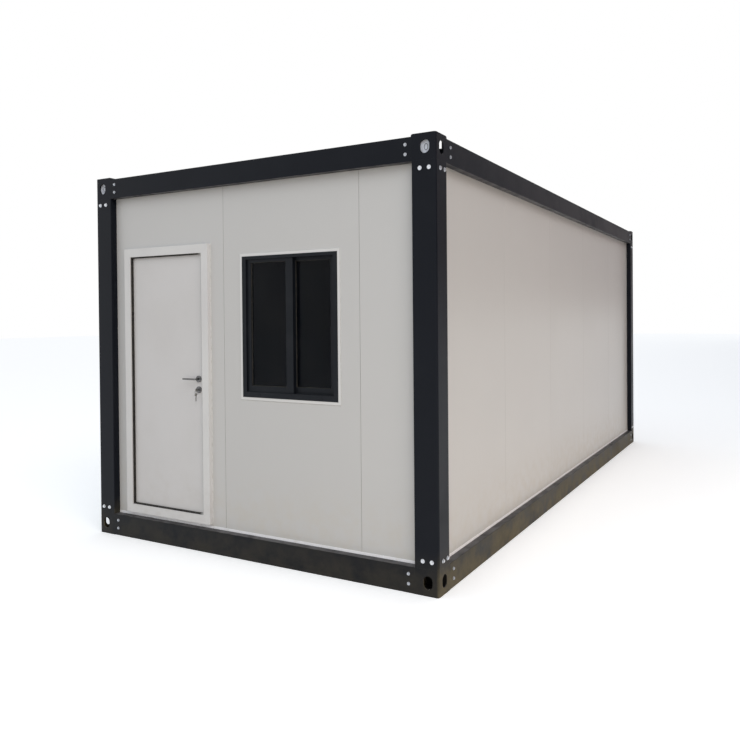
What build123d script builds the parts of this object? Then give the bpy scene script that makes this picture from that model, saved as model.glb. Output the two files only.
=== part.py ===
from build123d import *
import os

# A shipping container cabin: a bolted steel frame, sandwich panel walls, one door and one window.
# The origin is on the ground under the middle of the cabin, +Z is up and the door is in the -Y end.
# Sizes are in mm. "End" is a short side of the cabin and "side" is a long one.
LENGTH = 5950.0
WIDTH = 3000.0
HEIGHT = 2800.0

# The walls: flat panels in modules, set back behind the faces of the frame.
WALL_RECESS = 55.0
PANEL_THICKNESS = 75.0
PANEL_MODULE = 1150.0
FRONT_SEAM_IN = 1272.0
PANEL_TONGUE = 8.0
PANEL_TONGUE_THICKNESS = 14.0
PANEL_TONGUE_TAPER = 2.0
PANEL_GROOVE_CLEAR = 1.0
PANEL_EDGE_BEVEL = 1.5
PANEL_JOINT = 0.6

# The corner castings: welded boxes with apertures, the same at the top and at the bottom.
CASTING_HEIGHT = 164.0
CASTING_MARGIN = 8.0
CASTING_ALONG_SIDE = 154.0
CASTING_PLATE = 6.0
CASTING_ROUND = 16.0
CASTING_SHOULDER = 12.0
APERTURE_WIDTH = 62.0
APERTURE_HEIGHT = 82.0
APERTURE_IN_END = 74.0
APERTURE_IN_SIDE = 80.0
LIFT_APERTURE_LENGTH = 100.0
LIFT_APERTURE_WIDTH = 60.0
TONGUE_LENGTH = 70.0
TONGUE_HEIGHT = 96.0

# The posts and beams: rolled sheet steel.
POST_GAUGE = 3.0
POST_BEND = 5.0
POST_STEP = 3.0
BEAM_GAUGE = 3.0
BEAM_BEND = 4.0
DECK_BEARING = 30.0
FLOOR_BEAM_FOOT = 60.0
FLOOR_BEAM_LIP = 40.0
ROOF_STEP = 14.0
ROOF_EDGE = 32.0
GUTTER_WIDTH = 86.0
GUTTER_DEPTH = 58.0
ROOF_SEAT_DROP = 26.0
ROOF_LIP = 30.0

# The roof, the ceiling and the floor.
ROOF_SHEET_GAUGE = 1.0
ROOF_SHEET_CLEAR = 2.0
ROOF_RIB_HEIGHT = 20.0
ROOF_RIB_TOP = 24.0
ROOF_RIB_FOOT = 52.0
ROOF_RIB_PITCH = 240.0
ROOF_SHEET_FLANGE = 12.0
CEILING_THICKNESS = 12.0
CEILING_RISE = 6.0
CEILING_BOARDS = 6
CEILING_JOINT = 0.8
PURLIN_HEIGHT = 80.0
PURLIN_FLANGE = 40.0
PURLIN_GAUGE = 2.0
PURLIN_COUNT = 9
DECK_THICKNESS = 18.0
JOIST_HEIGHT = 100.0
JOIST_FLANGE = 45.0
JOIST_GAUGE = 2.5
JOIST_COUNT = 11

# The tracks at the foot of the walls, and the trims in the room's corners.
TRACK_GAUGE = 1.5
TRACK_LEG = 18.0
TRIM_LEG = 40.0
TRIM_GAUGE = 1.5

# The rain pipes inside the posts, each with a capped branch behind the casting's end aperture.
PIPE_OUTER = 75.0
PIPE_WALL = 3.0
PIPE_FIT = 0.4
PIPE_HEAD_GAP = 20.0
PIPE_FOOT_GAP = 30.0
BRANCH_BACK = 16.0
COLLAR_LIP = 4.5
COLLAR_LENGTH = 14.0
CAP_DISH = 3.5

# The door: a folded frame standing proud of the wall, and a leaf that opens into the room.
DOOR_CENTRE_IN = 712.5
DOOR_CLEAR_WIDTH = 737.0
DOOR_CLEAR_HEIGHT = 1912.0
DOOR_CLEAR_FOOT = 258.0
DOOR_FACE = 64.0
DOOR_FACE_LAP = 20.0
DOOR_PROUD = 30.0
DOOR_STOP_DEPTH = 20.0
DOOR_REBATE = 18.0
DOOR_INNER_LAP = 3.0
DOOR_FRAME_GAUGE = 2.0
LEAF_THICKNESS = 50.0
LEAF_STOP_GAP = 5.0
LEAF_LAP = 12.0
LEAF_LOCK_LAP = 10.0
GASKET_WIDTH = 10.0
GASKET_BACK = 8.0
GASKET_SEAT = 0.5

# The hinges of the door.
HINGE_COUNT = 3
HINGE_END_IN = 210.0
HINGE_LENGTH = 100.0
HINGE_KNUCKLE = 16.0
HINGE_PIN = 8.0
HINGE_PIN_FIT = 0.4
HINGE_KNUCKLE_GAP = 0.5
HINGE_PLATE = 3.0
HINGE_PLATE_WIDTH = 44.0
HINGE_CLEAR = 1.0

# The lever handle, its roses, the lock cylinder and its keys.
LOCK_BACKSET = 63.0
LEVER_HEIGHT = 1249.0
CYLINDER_DROP = 79.0
ROSE_DIAMETER = 48.0
ROSE_THICKNESS = 9.0
ROSE_ROUND = 2.0
LEVER_DIAMETER = 13.0
LEVER_LENGTH = 122.0
LEVER_STANDOFF = 42.0
LEVER_BEND = 16.0
LEVER_TIP_ROUND = 4.0
SPINDLE = 8.0
SPINDLE_CLEAR = 5.0
LEVER_FIT = 0.4
CYLINDER_DIAMETER = 17.0
CYLINDER_PROUD = 4.0
FOREND_WIDTH = 22.0
FOREND_LENGTH = 235.0
FOREND_THICKNESS = 2.0
STRIKE_LENGTH = 180.0
STRIKE_LIP = 6.0
BOLT_HOLE_WIDTH = 14.0
BOLT_HOLE_HEIGHT = 32.0
KEY_BOW = 24.0
KEY_THICKNESS = 2.0
KEY_HOLE = 7.0
KEY_BLADE_WIDTH = 8.0
KEY_BLADE_LENGTH = 30.0
KEY_STANDOUT = 4.0
RING_DIAMETER = 24.0
RING_WIRE = 1.8

# The window: a frame with two sashes that slide on separate tracks.
WINDOW_CENTRE_IN = 1849.0
WINDOW_WIDTH = 806.0
WINDOW_HEIGHT = 989.0
WINDOW_SILL = 1137.0
WINDOW_PROUD = 5.0
WINDOW_JAMB = 34.0
WINDOW_HEAD = 22.0
WINDOW_SILL_BAR = 38.0
WINDOW_TRIM = 20.0
WINDOW_TRIM_PROUD = 3.0
SASH_DEPTH = 26.0
SASH_FIRST_BACK = 14.0
SASH_TRACK_RIB = 4.0
SASH_STILE = 34.0
SASH_LOCK_STILE = 50.0
SASH_MEETING_STILE = 60.0
SASH_TOP_RAIL = 22.0
SASH_BOTTOM_RAIL = 42.0
SASH_OVERLAP = 62.0
GLASS_THICKNESS = 5.0
GLASS_GROOVE = 9.0

# Faces and levels that follow from the sizes above.
END_FACE = -LENGTH / 2
SIDE_FACE = -WIDTH / 2
WALL_BACK = WALL_RECESS + PANEL_THICKNESS
BEAM_REACH = WALL_BACK + DECK_BEARING
CASTING_ALONG_END = BEAM_REACH + CASTING_MARGIN
UPPER_SEAM = HEIGHT - CASTING_HEIGHT
ROOF_BEAM_TOP = HEIGHT - ROOF_STEP
ROOF_SEAT = ROOF_BEAM_TOP - ROOF_SEAT_DROP
PANEL_FOOT = CASTING_HEIGHT + TRACK_GAUGE
POST_END_FACE = CASTING_ALONG_END - POST_STEP
POST_SIDE_FACE = CASTING_ALONG_SIDE - POST_STEP
CORNERS = ("front_left", "front_right", "rear_left", "rear_right")
DECK_TOP = CASTING_HEIGHT + DECK_THICKNESS

# How far a cutting shape passes the face that it opens.
CUT = 1.0


def block(x0, x1, y0, y1, z0, z1):
    """A plain slab between two opposite corners."""
    slab = Box(x1 - x0, y1 - y0, z1 - z0)
    return Pos((x0 + x1) / 2, (y0 + y1) / 2, (z0 + z1) / 2) * slab


def rolled(points, gauge, bends):
    """The section of a sheet rolled along one of its faces, with the metal on the left of the line."""
    line = FilletPolyline(*points, radius=bends)
    return make_face(offset(line, amount=gauge, side=Side.LEFT, closed=True))


def along_x(section, x0, x1):
    """A section drawn in y and z, run from x0 to x1."""
    return Pos(x0, 0, 0) * extrude(Plane.YZ * section, amount=x1 - x0, dir=(1, 0, 0))


def along_y(section, y0, y1):
    """A section drawn in x and z, run from y0 to y1."""
    return Pos(0, y0, 0) * extrude(Plane.XZ * section, amount=y1 - y0, dir=(0, 1, 0))


def at_corner(shape, corner):
    """The front left piece, turned over into the same piece at another corner or side."""
    if "right" in corner:
        shape = mirror(shape, Plane.YZ)
    if "rear" in corner:
        shape = mirror(shape, Plane.XZ)
    return shape


def upright(radius, height):
    """A cylinder that stands on the origin."""
    return Cylinder(radius, height, align=(Align.CENTER, Align.CENTER, Align.MIN))


def lying(radius, length):
    """A cylinder along y, with its middle at the origin."""
    return Rot(90, 0, 0) * Cylinder(radius, length)


def save(name, *solids):
    """Writes one piece, or several like ones that don't touch, as one file."""
    shape = solids[0]
    if len(solids) > 1:
        shape = Compound(children=[Compound(s.solids()) for s in solids])
    export_step(shape, f"parts/{name}.step")


def corner_post():
    """A rolled post whose two faces stand proud and whose core fills the corner between the walls."""
    points = [
        (0, 0),
        (POST_END_FACE, 0),
        (POST_END_FACE, WALL_RECESS),
        (WALL_BACK, WALL_RECESS),
        (WALL_BACK, WALL_BACK),
        (WALL_RECESS, WALL_BACK),
        (WALL_RECESS, POST_SIDE_FACE),
        (0, POST_SIDE_FACE),
    ]
    radii = [CASTING_ROUND, POST_BEND, POST_BEND, 0, POST_BEND, 0, POST_BEND, POST_BEND]
    outer = make_face(FilletPolyline(*points, radius=radii, close=True))
    section = outer - offset(outer, amount=-POST_GAUGE)
    height = UPPER_SEAM - CASTING_HEIGHT
    return Pos(SIDE_FACE, END_FACE, CASTING_HEIGHT) * extrude(section, amount=height, dir=(0, 0, 1))


def oblong(width, height):
    """The outline of an aperture: straight sides with round ends on the longer axis."""
    if width > height:
        return SlotOverall(width, height)
    return SlotOverall(height, width, rotation=90)


def casting(foot, outer_plate_up):
    """A hollow corner box at the front left, with apertures outside and tongues into the beams."""
    wide = CASTING_ALONG_END
    deep = CASTING_ALONG_SIDE
    plate = CASTING_PLATE
    middle = CASTING_HEIGHT / 2
    outer = block(0, wide, 0, deep, 0, CASTING_HEIGHT)
    outer_edge = outer.edges().filter_by(Axis.Z).sort_by_distance((0, 0, middle))[0]
    outer = fillet(outer_edge, CASTING_ROUND)
    if outer_plate_up:
        outer = fillet(shoulders(outer), CASTING_SHOULDER)
    inner = block(plate, wide - plate, plate, deep - plate, plate, CASTING_HEIGHT - plate)
    beam_middle = (CASTING_HEIGHT - ROOF_STEP) / 2 if outer_plate_up else middle
    through = plate + CUT
    hole = oblong(APERTURE_WIDTH, APERTURE_HEIGHT)
    end_hole = along_y(Pos(APERTURE_IN_END, middle) * hole, -CUT, through)
    side_hole = along_x(Pos(APERTURE_IN_SIDE, middle) * hole, -CUT, through)
    lift = oblong(LIFT_APERTURE_LENGTH, LIFT_APERTURE_WIDTH)
    lift_z = CASTING_HEIGHT if outer_plate_up else 0
    lift_hole = Pos(wide / 2, deep / 2, lift_z - through) * extrude(lift, amount=2 * through)
    pipe_z = 0 if outer_plate_up else CASTING_HEIGHT
    pipe_hole = Pos(APERTURE_IN_END, APERTURE_IN_SIDE, pipe_z) * Cylinder(
        PIPE_OUTER / 2 + PIPE_FIT, 2 * through
    )
    box = outer - inner - end_hole - side_hole - lift_hole - pipe_hole
    if outer_plate_up:
        box -= gutter_windows()
    gauge = BEAM_GAUGE
    low = beam_middle - TONGUE_HEIGHT / 2
    high = beam_middle + TONGUE_HEIGHT / 2
    end_tongue = block(wide, wide + TONGUE_LENGTH, gauge, gauge + plate, low, high)
    side_tongue = block(gauge, gauge + plate, deep, deep + TONGUE_LENGTH, low, high)
    return Pos(SIDE_FACE, END_FACE, foot) * (box + end_tongue + side_tongue)


def shoulders(box):
    """The two upper edges of a top casting that stand above the roof beams' ends."""
    top_edges = box.edges().group_by(Axis.Z)[-1]
    return [top_edges.sort_by(Axis.X)[-1], top_edges.sort_by(Axis.Y)[-1]]


def gutter_windows():
    """The openings through which the gutters drain into a top casting."""
    low = CASTING_HEIGHT - ROOF_STEP - GUTTER_DEPTH
    high = CASTING_HEIGHT - ROOF_STEP - BEAM_BEND
    near = ROOF_EDGE
    far = ROOF_EDGE + GUTTER_WIDTH
    through = CASTING_PLATE + CUT
    to_end = block(CASTING_ALONG_END - through, CASTING_ALONG_END + CUT, near, far, low, high)
    to_side = block(near, far, CASTING_ALONG_SIDE - through, CASTING_ALONG_SIDE + CUT, low, high)
    return to_end + to_side


def floor_beam_section(face):
    """An open rolled channel: a foot on the ground, a web outside and a ledge for wall and deck."""
    points = [
        (face + BEAM_REACH, CASTING_HEIGHT - FLOOR_BEAM_LIP),
        (face + BEAM_REACH, CASTING_HEIGHT),
        (face, CASTING_HEIGHT),
        (face, 0),
        (face + FLOOR_BEAM_FOOT, 0),
    ]
    return rolled(points, BEAM_GAUGE, BEAM_BEND)


def roof_beam_section(face):
    """A rolled beam with a gutter on top, a soffit over the wall and a lip behind the wall's head."""
    gutter_floor = ROOF_BEAM_TOP - GUTTER_DEPTH
    gutter_far = face + ROOF_EDGE + GUTTER_WIDTH
    points = [
        (face + BEAM_REACH, ROOF_SEAT),
        (gutter_far, ROOF_SEAT),
        (gutter_far, gutter_floor),
        (face + ROOF_EDGE, gutter_floor),
        (face + ROOF_EDGE, ROOF_BEAM_TOP),
        (face, ROOF_BEAM_TOP),
        (face, UPPER_SEAM),
        (face + WALL_BACK, UPPER_SEAM),
        (face + WALL_BACK, UPPER_SEAM - ROOF_LIP),
    ]
    bends = [BEAM_BEND] * (len(points) - 3)
    return rolled(points, BEAM_GAUGE, bends + [0])


def frame():
    """The steel frame: posts, castings and beams."""
    for corner in CORNERS:
        save(f"corner_post_{corner}", at_corner(corner_post(), corner))
        save(f"top_casting_{corner}", at_corner(casting(UPPER_SEAM, True), corner))
        save(f"bottom_casting_{corner}", at_corner(casting(0, False), corner))
    half_end = WIDTH / 2 - CASTING_ALONG_END
    half_side = LENGTH / 2 - CASTING_ALONG_SIDE
    for level, section in (("floor", floor_beam_section), ("roof", roof_beam_section)):
        end_beam = along_x(section(END_FACE), -half_end, half_end)
        side_beam = along_y(section(SIDE_FACE), -half_side, half_side)
        for end in ("front", "rear"):
            save(f"{level}_beam_{end}", at_corner(end_beam, end))
        for side in ("left", "right"):
            save(f"{level}_beam_{side}", at_corner(side_beam, side))


def spaced(count, low, high):
    """Places spread evenly between two limits, clear of both."""
    return [low + (high - low) * (i + 0.5) / count for i in range(count)]


def channel(y, top, height, flange, gauge):
    """A light channel that spans the cabin from one side beam to the other."""
    points = [
        (y + flange, top - height),
        (y, top - height),
        (y, top),
        (y + flange, top),
    ]
    line = Polyline(*points)
    section = make_face(offset(line, amount=gauge, side=Side.RIGHT, closed=True))
    reach = WIDTH / 2 - BEAM_REACH
    return along_x(section, -reach, reach)


def roof_sheet():
    """Ribbed sheet that drains to the gutters at the sides, with a rib along each of its ends."""
    half_length = LENGTH / 2 - ROOF_EDGE - GUTTER_WIDTH
    last_rib = half_length - ROOF_SHEET_FLANGE - ROOF_RIB_FOOT / 2
    gaps = int(2 * last_rib / ROOF_RIB_PITCH)
    points = [(-half_length, ROOF_SEAT)]
    for i in range(gaps + 1):
        centre = last_rib * (2 * i / gaps - 1)
        points += [(centre - ROOF_RIB_FOOT / 2, ROOF_SEAT)]
        points += [(centre - ROOF_RIB_TOP / 2, ROOF_SEAT + ROOF_RIB_HEIGHT)]
        points += [(centre + ROOF_RIB_TOP / 2, ROOF_SEAT + ROOF_RIB_HEIGHT)]
        points += [(centre + ROOF_RIB_FOOT / 2, ROOF_SEAT)]
    points += [(half_length, ROOF_SEAT)]
    section = make_face(offset(Polyline(*points), amount=ROOF_SHEET_GAUGE, side=Side.LEFT, closed=True))
    half_width = WIDTH / 2 - ROOF_EDGE - GUTTER_WIDTH
    sheet = along_x(section, -half_width, half_width)
    notch = block(
        SIDE_FACE,
        SIDE_FACE + CASTING_ALONG_END + ROOF_SHEET_CLEAR,
        END_FACE,
        END_FACE + CASTING_ALONG_SIDE + ROOF_SHEET_CLEAR,
        ROOF_SEAT - ROOF_SHEET_CLEAR,
        HEIGHT,
    )
    for corner in CORNERS:
        sheet -= at_corner(notch, corner)
    return sheet


def roof_and_floor():
    """The roof with its purlins and ceiling, and the floor with its joists."""
    save("roof_sheet", roof_sheet())
    half_length = LENGTH / 2 - BEAM_REACH
    purlins = spaced(PURLIN_COUNT, -half_length, half_length)
    purlin = (ROOF_SEAT, PURLIN_HEIGHT, PURLIN_FLANGE, PURLIN_GAUGE)
    save("roof_purlins", *[channel(y, *purlin) for y in purlins])
    save("ceiling", *ceiling_boards())
    joists = spaced(JOIST_COUNT, -half_length, half_length)
    joist = (CASTING_HEIGHT, JOIST_HEIGHT, JOIST_FLANGE, JOIST_GAUGE)
    save("floor_joists", *[channel(y, *joist) for y in joists])
    x = WIDTH / 2 - WALL_BACK - TRACK_GAUGE
    y = LENGTH / 2 - WALL_BACK - TRACK_GAUGE
    save("floor_deck", block(-x, x, -y, y, CASTING_HEIGHT, DECK_TOP))


def ceiling_boards():
    """Boards across the room, side by side between the lips of the roof beams."""
    inside = WALL_BACK + BEAM_GAUGE
    x = WIDTH / 2 - inside
    low = UPPER_SEAM - ROOF_LIP + CEILING_RISE
    start = END_FACE + inside
    width = -2 * start / CEILING_BOARDS
    edges = [start + width * i for i in range(CEILING_BOARDS)]
    return [block(-x, x, y, y + width - CEILING_JOINT, low, low + CEILING_THICKNESS) for y in edges]


def panel(start, end, groove, tongue, across):
    """A wall panel from start to end, with its bevelled edges, groove and tongue, seen from above."""
    t = PANEL_THICKNESS
    b = PANEL_EDGE_BEVEL
    mid = t / 2
    root = PANEL_TONGUE_THICKNESS / 2
    crest = root - PANEL_TONGUE_TAPER
    if groove:
        deep = start + PANEL_TONGUE + PANEL_JOINT
        mouth = root + PANEL_GROOVE_CLEAR
        bottom = crest + PANEL_GROOVE_CLEAR
        points = [(start + b, t), (start, t - b), (start, mid + mouth), (deep, mid + bottom)]
        points += [(deep, mid - bottom), (start, mid - mouth), (start, b), (start + b, 0)]
    else:
        points = [(start, t), (start, 0)]
    if tongue:
        edge = end - PANEL_JOINT
        tip = edge + PANEL_TONGUE
        points += [(edge - b, 0), (edge, b), (edge, mid - root), (tip, mid - crest)]
        points += [(tip, mid + crest), (edge, mid + root), (edge, t - b), (edge - b, t)]
    else:
        points += [(end, 0), (end, t)]
    if across == "x":
        points = [(s, END_FACE + WALL_RECESS + d) for s, d in points]
    else:
        points = [(SIDE_FACE + WALL_RECESS + d, s) for s, d in points]
    outline = make_face(Polyline(*points, close=True))
    height = UPPER_SEAM - PANEL_FOOT
    return Pos(0, 0, PANEL_FOOT) * extrude(outline, amount=height, dir=(0, 0, 1))


def panel_run(low, high, first, across):
    """Panels side by side between two posts, the first one cut to its own width."""
    seams = [low, low + first]
    while high - seams[-1] > PANEL_MODULE:
        seams.append(seams[-1] + PANEL_MODULE)
    seams.append(high)
    pairs = list(zip(seams, seams[1:]))
    return [panel(a, b, a > low, b < high, across) for a, b in pairs]


# The door's clear opening, which is the edge of its stop.
DOOR_LEFT = SIDE_FACE + DOOR_CENTRE_IN - DOOR_CLEAR_WIDTH / 2
DOOR_RIGHT = DOOR_LEFT + DOOR_CLEAR_WIDTH
DOOR_FOOT = DOOR_CLEAR_FOOT
DOOR_TOP = DOOR_FOOT + DOOR_CLEAR_HEIGHT
DOOR_CORE = DOOR_FACE - DOOR_FACE_LAP
DOOR_FRONT = END_FACE + WALL_RECESS - DOOR_PROUD
DOOR_BACK = END_FACE + WALL_BACK + DOOR_INNER_LAP
LEAF_FRONT = DOOR_FRONT + DOOR_STOP_DEPTH + LEAF_STOP_GAP
LEAF_BACK = LEAF_FRONT + LEAF_THICKNESS
LEAF_LEFT = DOOR_LEFT - LEAF_LAP
LEAF_RIGHT = DOOR_RIGHT + LEAF_LOCK_LAP
HINGE_X = DOOR_LEFT - DOOR_REBATE + HINGE_CLEAR + HINGE_KNUCKLE / 2
HINGE_Y = LEAF_BACK + HINGE_CLEAR + HINGE_KNUCKLE / 2
LOCK_X = LEAF_RIGHT - LOCK_BACKSET
CYLINDER_Z = LEVER_HEIGHT - CYLINDER_DROP

# The window's outline.
WINDOW_LEFT = SIDE_FACE + WINDOW_CENTRE_IN - WINDOW_WIDTH / 2
WINDOW_RIGHT = WINDOW_LEFT + WINDOW_WIDTH
WINDOW_TOP = WINDOW_SILL + WINDOW_HEIGHT
WINDOW_FRONT = END_FACE + WALL_RECESS - WINDOW_PROUD


def walls():
    """The four walls, with the panel at the door split beside and over the doorway."""
    low = SIDE_FACE + WALL_BACK
    first = SIDE_FACE + FRONT_SEAM_IN - low
    door_panel, window_panel, *others = panel_run(low, -low, first, "x")
    core_left = DOOR_LEFT - DOOR_CORE
    core_right = DOOR_RIGHT + DOOR_CORE
    core_top = DOOR_TOP + DOOR_CORE
    far = WIDTH
    save("front_wall_hinge_side", door_panel & block(-far, core_left, -LENGTH, 0, 0, HEIGHT))
    save("front_wall_lock_side", door_panel & block(core_right, far, -LENGTH, 0, 0, HEIGHT))
    save("front_wall_over_door", door_panel & block(core_left, core_right, -LENGTH, 0, core_top, HEIGHT))
    hole = block(WINDOW_LEFT, WINDOW_RIGHT, -LENGTH, 0, WINDOW_SILL, WINDOW_TOP)
    save("front_wall_window_panel", window_panel - hole)
    save("front_wall_end_panel", *others)
    save("rear_wall", *[at_corner(p, "rear") for p in panel_run(low, -low, PANEL_MODULE, "x")])
    low = END_FACE + WALL_BACK
    side_panels = panel_run(low, -low, PANEL_MODULE, "y")
    save("left_wall", *side_panels)
    save("right_wall", *[at_corner(p, "right") for p in side_panels])


def tracks_and_trims():
    """Galvanised tracks that hold the feet of the walls, and the angles in the room's corners."""
    g = TRACK_GAUGE
    z = CASTING_HEIGHT
    lines = [
        (0, TRACK_LEG),
        (0, 0),
        (PANEL_THICKNESS + 2 * g, 0),
        (PANEL_THICKNESS + 2 * g, TRACK_LEG),
    ]
    sections = []
    for face in (END_FACE, SIDE_FACE):
        points = [(face + WALL_RECESS - g + a, z + b) for a, b in lines]
        sections.append(make_face(offset(Polyline(*points), amount=g, side=Side.LEFT, closed=True)))
    reach = WIDTH / 2 - WALL_BACK
    end_track = along_x(sections[0], -reach, reach)
    reach = LENGTH / 2 - WALL_BACK - 2 * g
    side_track = along_y(sections[1], -reach, reach)
    x, y = SIDE_FACE, END_FACE
    end_cut = block(x, x + POST_END_FACE, y, y + WALL_RECESS, z, z + 2 * TRACK_LEG)
    side_cut = block(x, x + WALL_RECESS, y, y + POST_SIDE_FACE, z, z + 2 * TRACK_LEG)
    end_track = end_track - end_cut - at_corner(end_cut, "right")
    side_track = side_track - side_cut - at_corner(side_cut, "rear")
    rear_track = at_corner(end_track, "rear")
    right_track = at_corner(side_track, "right")
    save("wall_base_tracks", end_track, rear_track, side_track, right_track)
    x = SIDE_FACE + WALL_BACK
    y = END_FACE + WALL_BACK
    top = UPPER_SEAM - ROOF_LIP
    angle = block(x, x + TRIM_LEG, y, y + TRIM_GAUGE, DECK_TOP, top)
    angle += block(x, x + TRIM_GAUGE, y, y + TRIM_LEG, DECK_TOP, top)
    save("inner_corner_trims", *[at_corner(angle, corner) for corner in CORNERS])


def rain_pipe():
    """A pipe down the inside of a post, with a capped branch facing the casting's end aperture."""
    radius = PIPE_OUTER / 2
    foot = CASTING_HEIGHT - PIPE_FOOT_GAP
    head = HEIGHT - CASTING_PLATE - PIPE_HEAD_GAP
    branch_z = UPPER_SEAM + CASTING_HEIGHT / 2
    pipe = Pos(0, 0, foot) * upright(radius, head - foot)
    bore = upright(radius - PIPE_WALL, head + CUT)
    reach = APERTURE_IN_SIDE - BRANCH_BACK
    branch = Pos(0, -reach / 2, branch_z) * lying(radius, reach)
    collar_y = -reach + COLLAR_LENGTH / 2
    collar = Pos(0, collar_y, branch_z) * lying(radius + COLLAR_LIP, COLLAR_LENGTH)
    dish = Pos(0, -reach, branch_z) * lying(radius - PIPE_WALL, 2 * CAP_DISH)
    shape = pipe + branch + collar - bore - dish
    return Pos(SIDE_FACE + APERTURE_IN_END, END_FACE + APERTURE_IN_SIDE, 0) * shape


def rain_pipes():
    """One rain pipe in each corner post."""
    save("rain_pipes", *[at_corner(rain_pipe(), corner) for corner in CORNERS])


def door_ring(near, far, y0, y1):
    """A rectangular ring round the door's clear opening, between two distances from its edge."""
    outer = block(DOOR_LEFT - far, DOOR_RIGHT + far, y0, y1, DOOR_FOOT - far, DOOR_TOP + far)
    return outer - block(DOOR_LEFT - near, DOOR_RIGHT + near, y0, y1, DOOR_FOOT - near, DOOR_TOP + near)


def door_corner(side, level, far):
    """A corner of the door's clear opening, moved outwards by a distance."""
    x = DOOR_LEFT - far if side == "left" else DOOR_RIGHT + far
    z = DOOR_FOOT - far if level == "low" else DOOR_TOP + far
    return (x, z)


def door_frame_ring():
    """The frame's folded section all round the door: a stop in front, a rebate for the leaf behind it."""
    g = DOOR_FRAME_GAUGE
    wall_front = END_FACE + WALL_RECESS
    wall_back = END_FACE + WALL_BACK
    stop_back = DOOR_FRONT + DOOR_STOP_DEPTH
    ring = door_ring(0, DOOR_FACE, DOOR_FRONT, stop_back)
    ring += door_ring(DOOR_REBATE, DOOR_FACE, stop_back, wall_front)
    ring += door_ring(DOOR_REBATE, DOOR_CORE, wall_front, wall_back)
    ring += door_ring(DOOR_REBATE, DOOR_FACE, wall_back, DOOR_BACK)
    ring -= door_ring(g, DOOR_FACE - g, DOOR_FRONT + g, stop_back - g)
    ring -= door_ring(DOOR_REBATE + g, DOOR_FACE - g, stop_back - g, wall_front - g)
    ring -= door_ring(DOOR_REBATE + g, DOOR_CORE - g, wall_front - g, wall_back)
    return ring


def strike():
    """The steel strip that takes the lock's bolts, let into the rebate opposite the forend."""
    middle = (LEAF_FRONT + LEAF_BACK) / 2
    lock_middle = (LEVER_HEIGHT + CYLINDER_Z) / 2
    rebate_face = DOOR_RIGHT + DOOR_REBATE
    half_width = FOREND_WIDTH / 2 + STRIKE_LIP / 2
    return block(
        rebate_face,
        rebate_face + DOOR_FRAME_GAUGE,
        middle - half_width,
        middle + half_width,
        lock_middle - STRIKE_LENGTH / 2,
        lock_middle + STRIKE_LENGTH / 2,
    )


def strike_plate():
    """The strip with its two holes, one for the latch and one for the bolt below it."""
    plate = strike()
    middle = (LEAF_FRONT + LEAF_BACK) / 2
    face = DOOR_RIGHT + DOOR_REBATE
    for z in (LEVER_HEIGHT, CYLINDER_Z):
        plate -= block(
            face - CUT,
            face + DOOR_FRAME_GAUGE + CUT,
            middle - BOLT_HOLE_WIDTH / 2,
            middle + BOLT_HOLE_WIDTH / 2,
            z - BOLT_HOLE_HEIGHT / 2,
            z + BOLT_HOLE_HEIGHT / 2,
        )
    return plate


def door_frame():
    """Four mitred members of folded steel, the strike in one of them, and the gasket all round."""
    ring = door_frame_ring()
    members = {
        "door_jamb_hinge_side": (("left", "low"), ("left", "top")),
        "door_jamb_lock_side": (("right", "low"), ("right", "top")),
        "door_head": (("left", "top"), ("right", "top")),
        "door_threshold": (("left", "low"), ("right", "low")),
    }
    for name, (a, b) in members.items():
        inside = [door_corner(*a, 0), door_corner(*b, 0)]
        outside = [door_corner(*b, DOOR_FACE), door_corner(*a, DOOR_FACE)]
        mitred = make_face(Polyline(*inside, *outside, close=True))
        member = ring & along_y(mitred, DOOR_FRONT - CUT, DOOR_BACK + CUT)
        if name == "door_jamb_lock_side":
            member -= strike()
        if name == "door_threshold":
            member += threshold_foot()
        save(name, member)
    save("strike_plate", strike_plate())
    seat = LEAF_FRONT - GASKET_SEAT
    save("door_gasket", door_ring(-GASKET_WIDTH, 0, DOOR_FRONT + GASKET_BACK, seat))


def threshold_foot():
    """The packing that carries the threshold on the floor beam, as thick as the wall."""
    return block(
        DOOR_LEFT - DOOR_CORE,
        DOOR_RIGHT + DOOR_CORE,
        END_FACE + WALL_RECESS,
        END_FACE + WALL_BACK,
        PANEL_FOOT,
        DOOR_FOOT - DOOR_CORE,
    )


def door_leaf():
    """A flat steel-faced leaf with holes for the lever's spindle and the lock's cylinder."""
    low = DOOR_FOOT - LEAF_LAP
    top = DOOR_TOP + LEAF_LAP
    leaf = block(LEAF_LEFT, LEAF_RIGHT, LEAF_FRONT, LEAF_BACK, low, top)
    middle = (LEAF_FRONT + LEAF_BACK) / 2
    through = LEAF_THICKNESS + 2 * CUT
    leaf -= Pos(LOCK_X, middle, LEVER_HEIGHT) * lying(SPINDLE / 2 + SPINDLE_CLEAR, through)
    leaf -= Pos(LOCK_X, middle, CYLINDER_Z) * lying(CYLINDER_DIAMETER / 2, through)
    leaf -= forend()
    save("door_leaf", leaf)


def forend():
    """The lock's steel strip, let into the closing edge of the leaf."""
    middle = (LEAF_FRONT + LEAF_BACK) / 2
    lock_middle = (LEVER_HEIGHT + CYLINDER_Z) / 2
    return block(
        LEAF_RIGHT - FOREND_THICKNESS,
        LEAF_RIGHT,
        middle - FOREND_WIDTH / 2,
        middle + FOREND_WIDTH / 2,
        lock_middle - FOREND_LENGTH / 2,
        lock_middle + FOREND_LENGTH / 2,
    )


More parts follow.
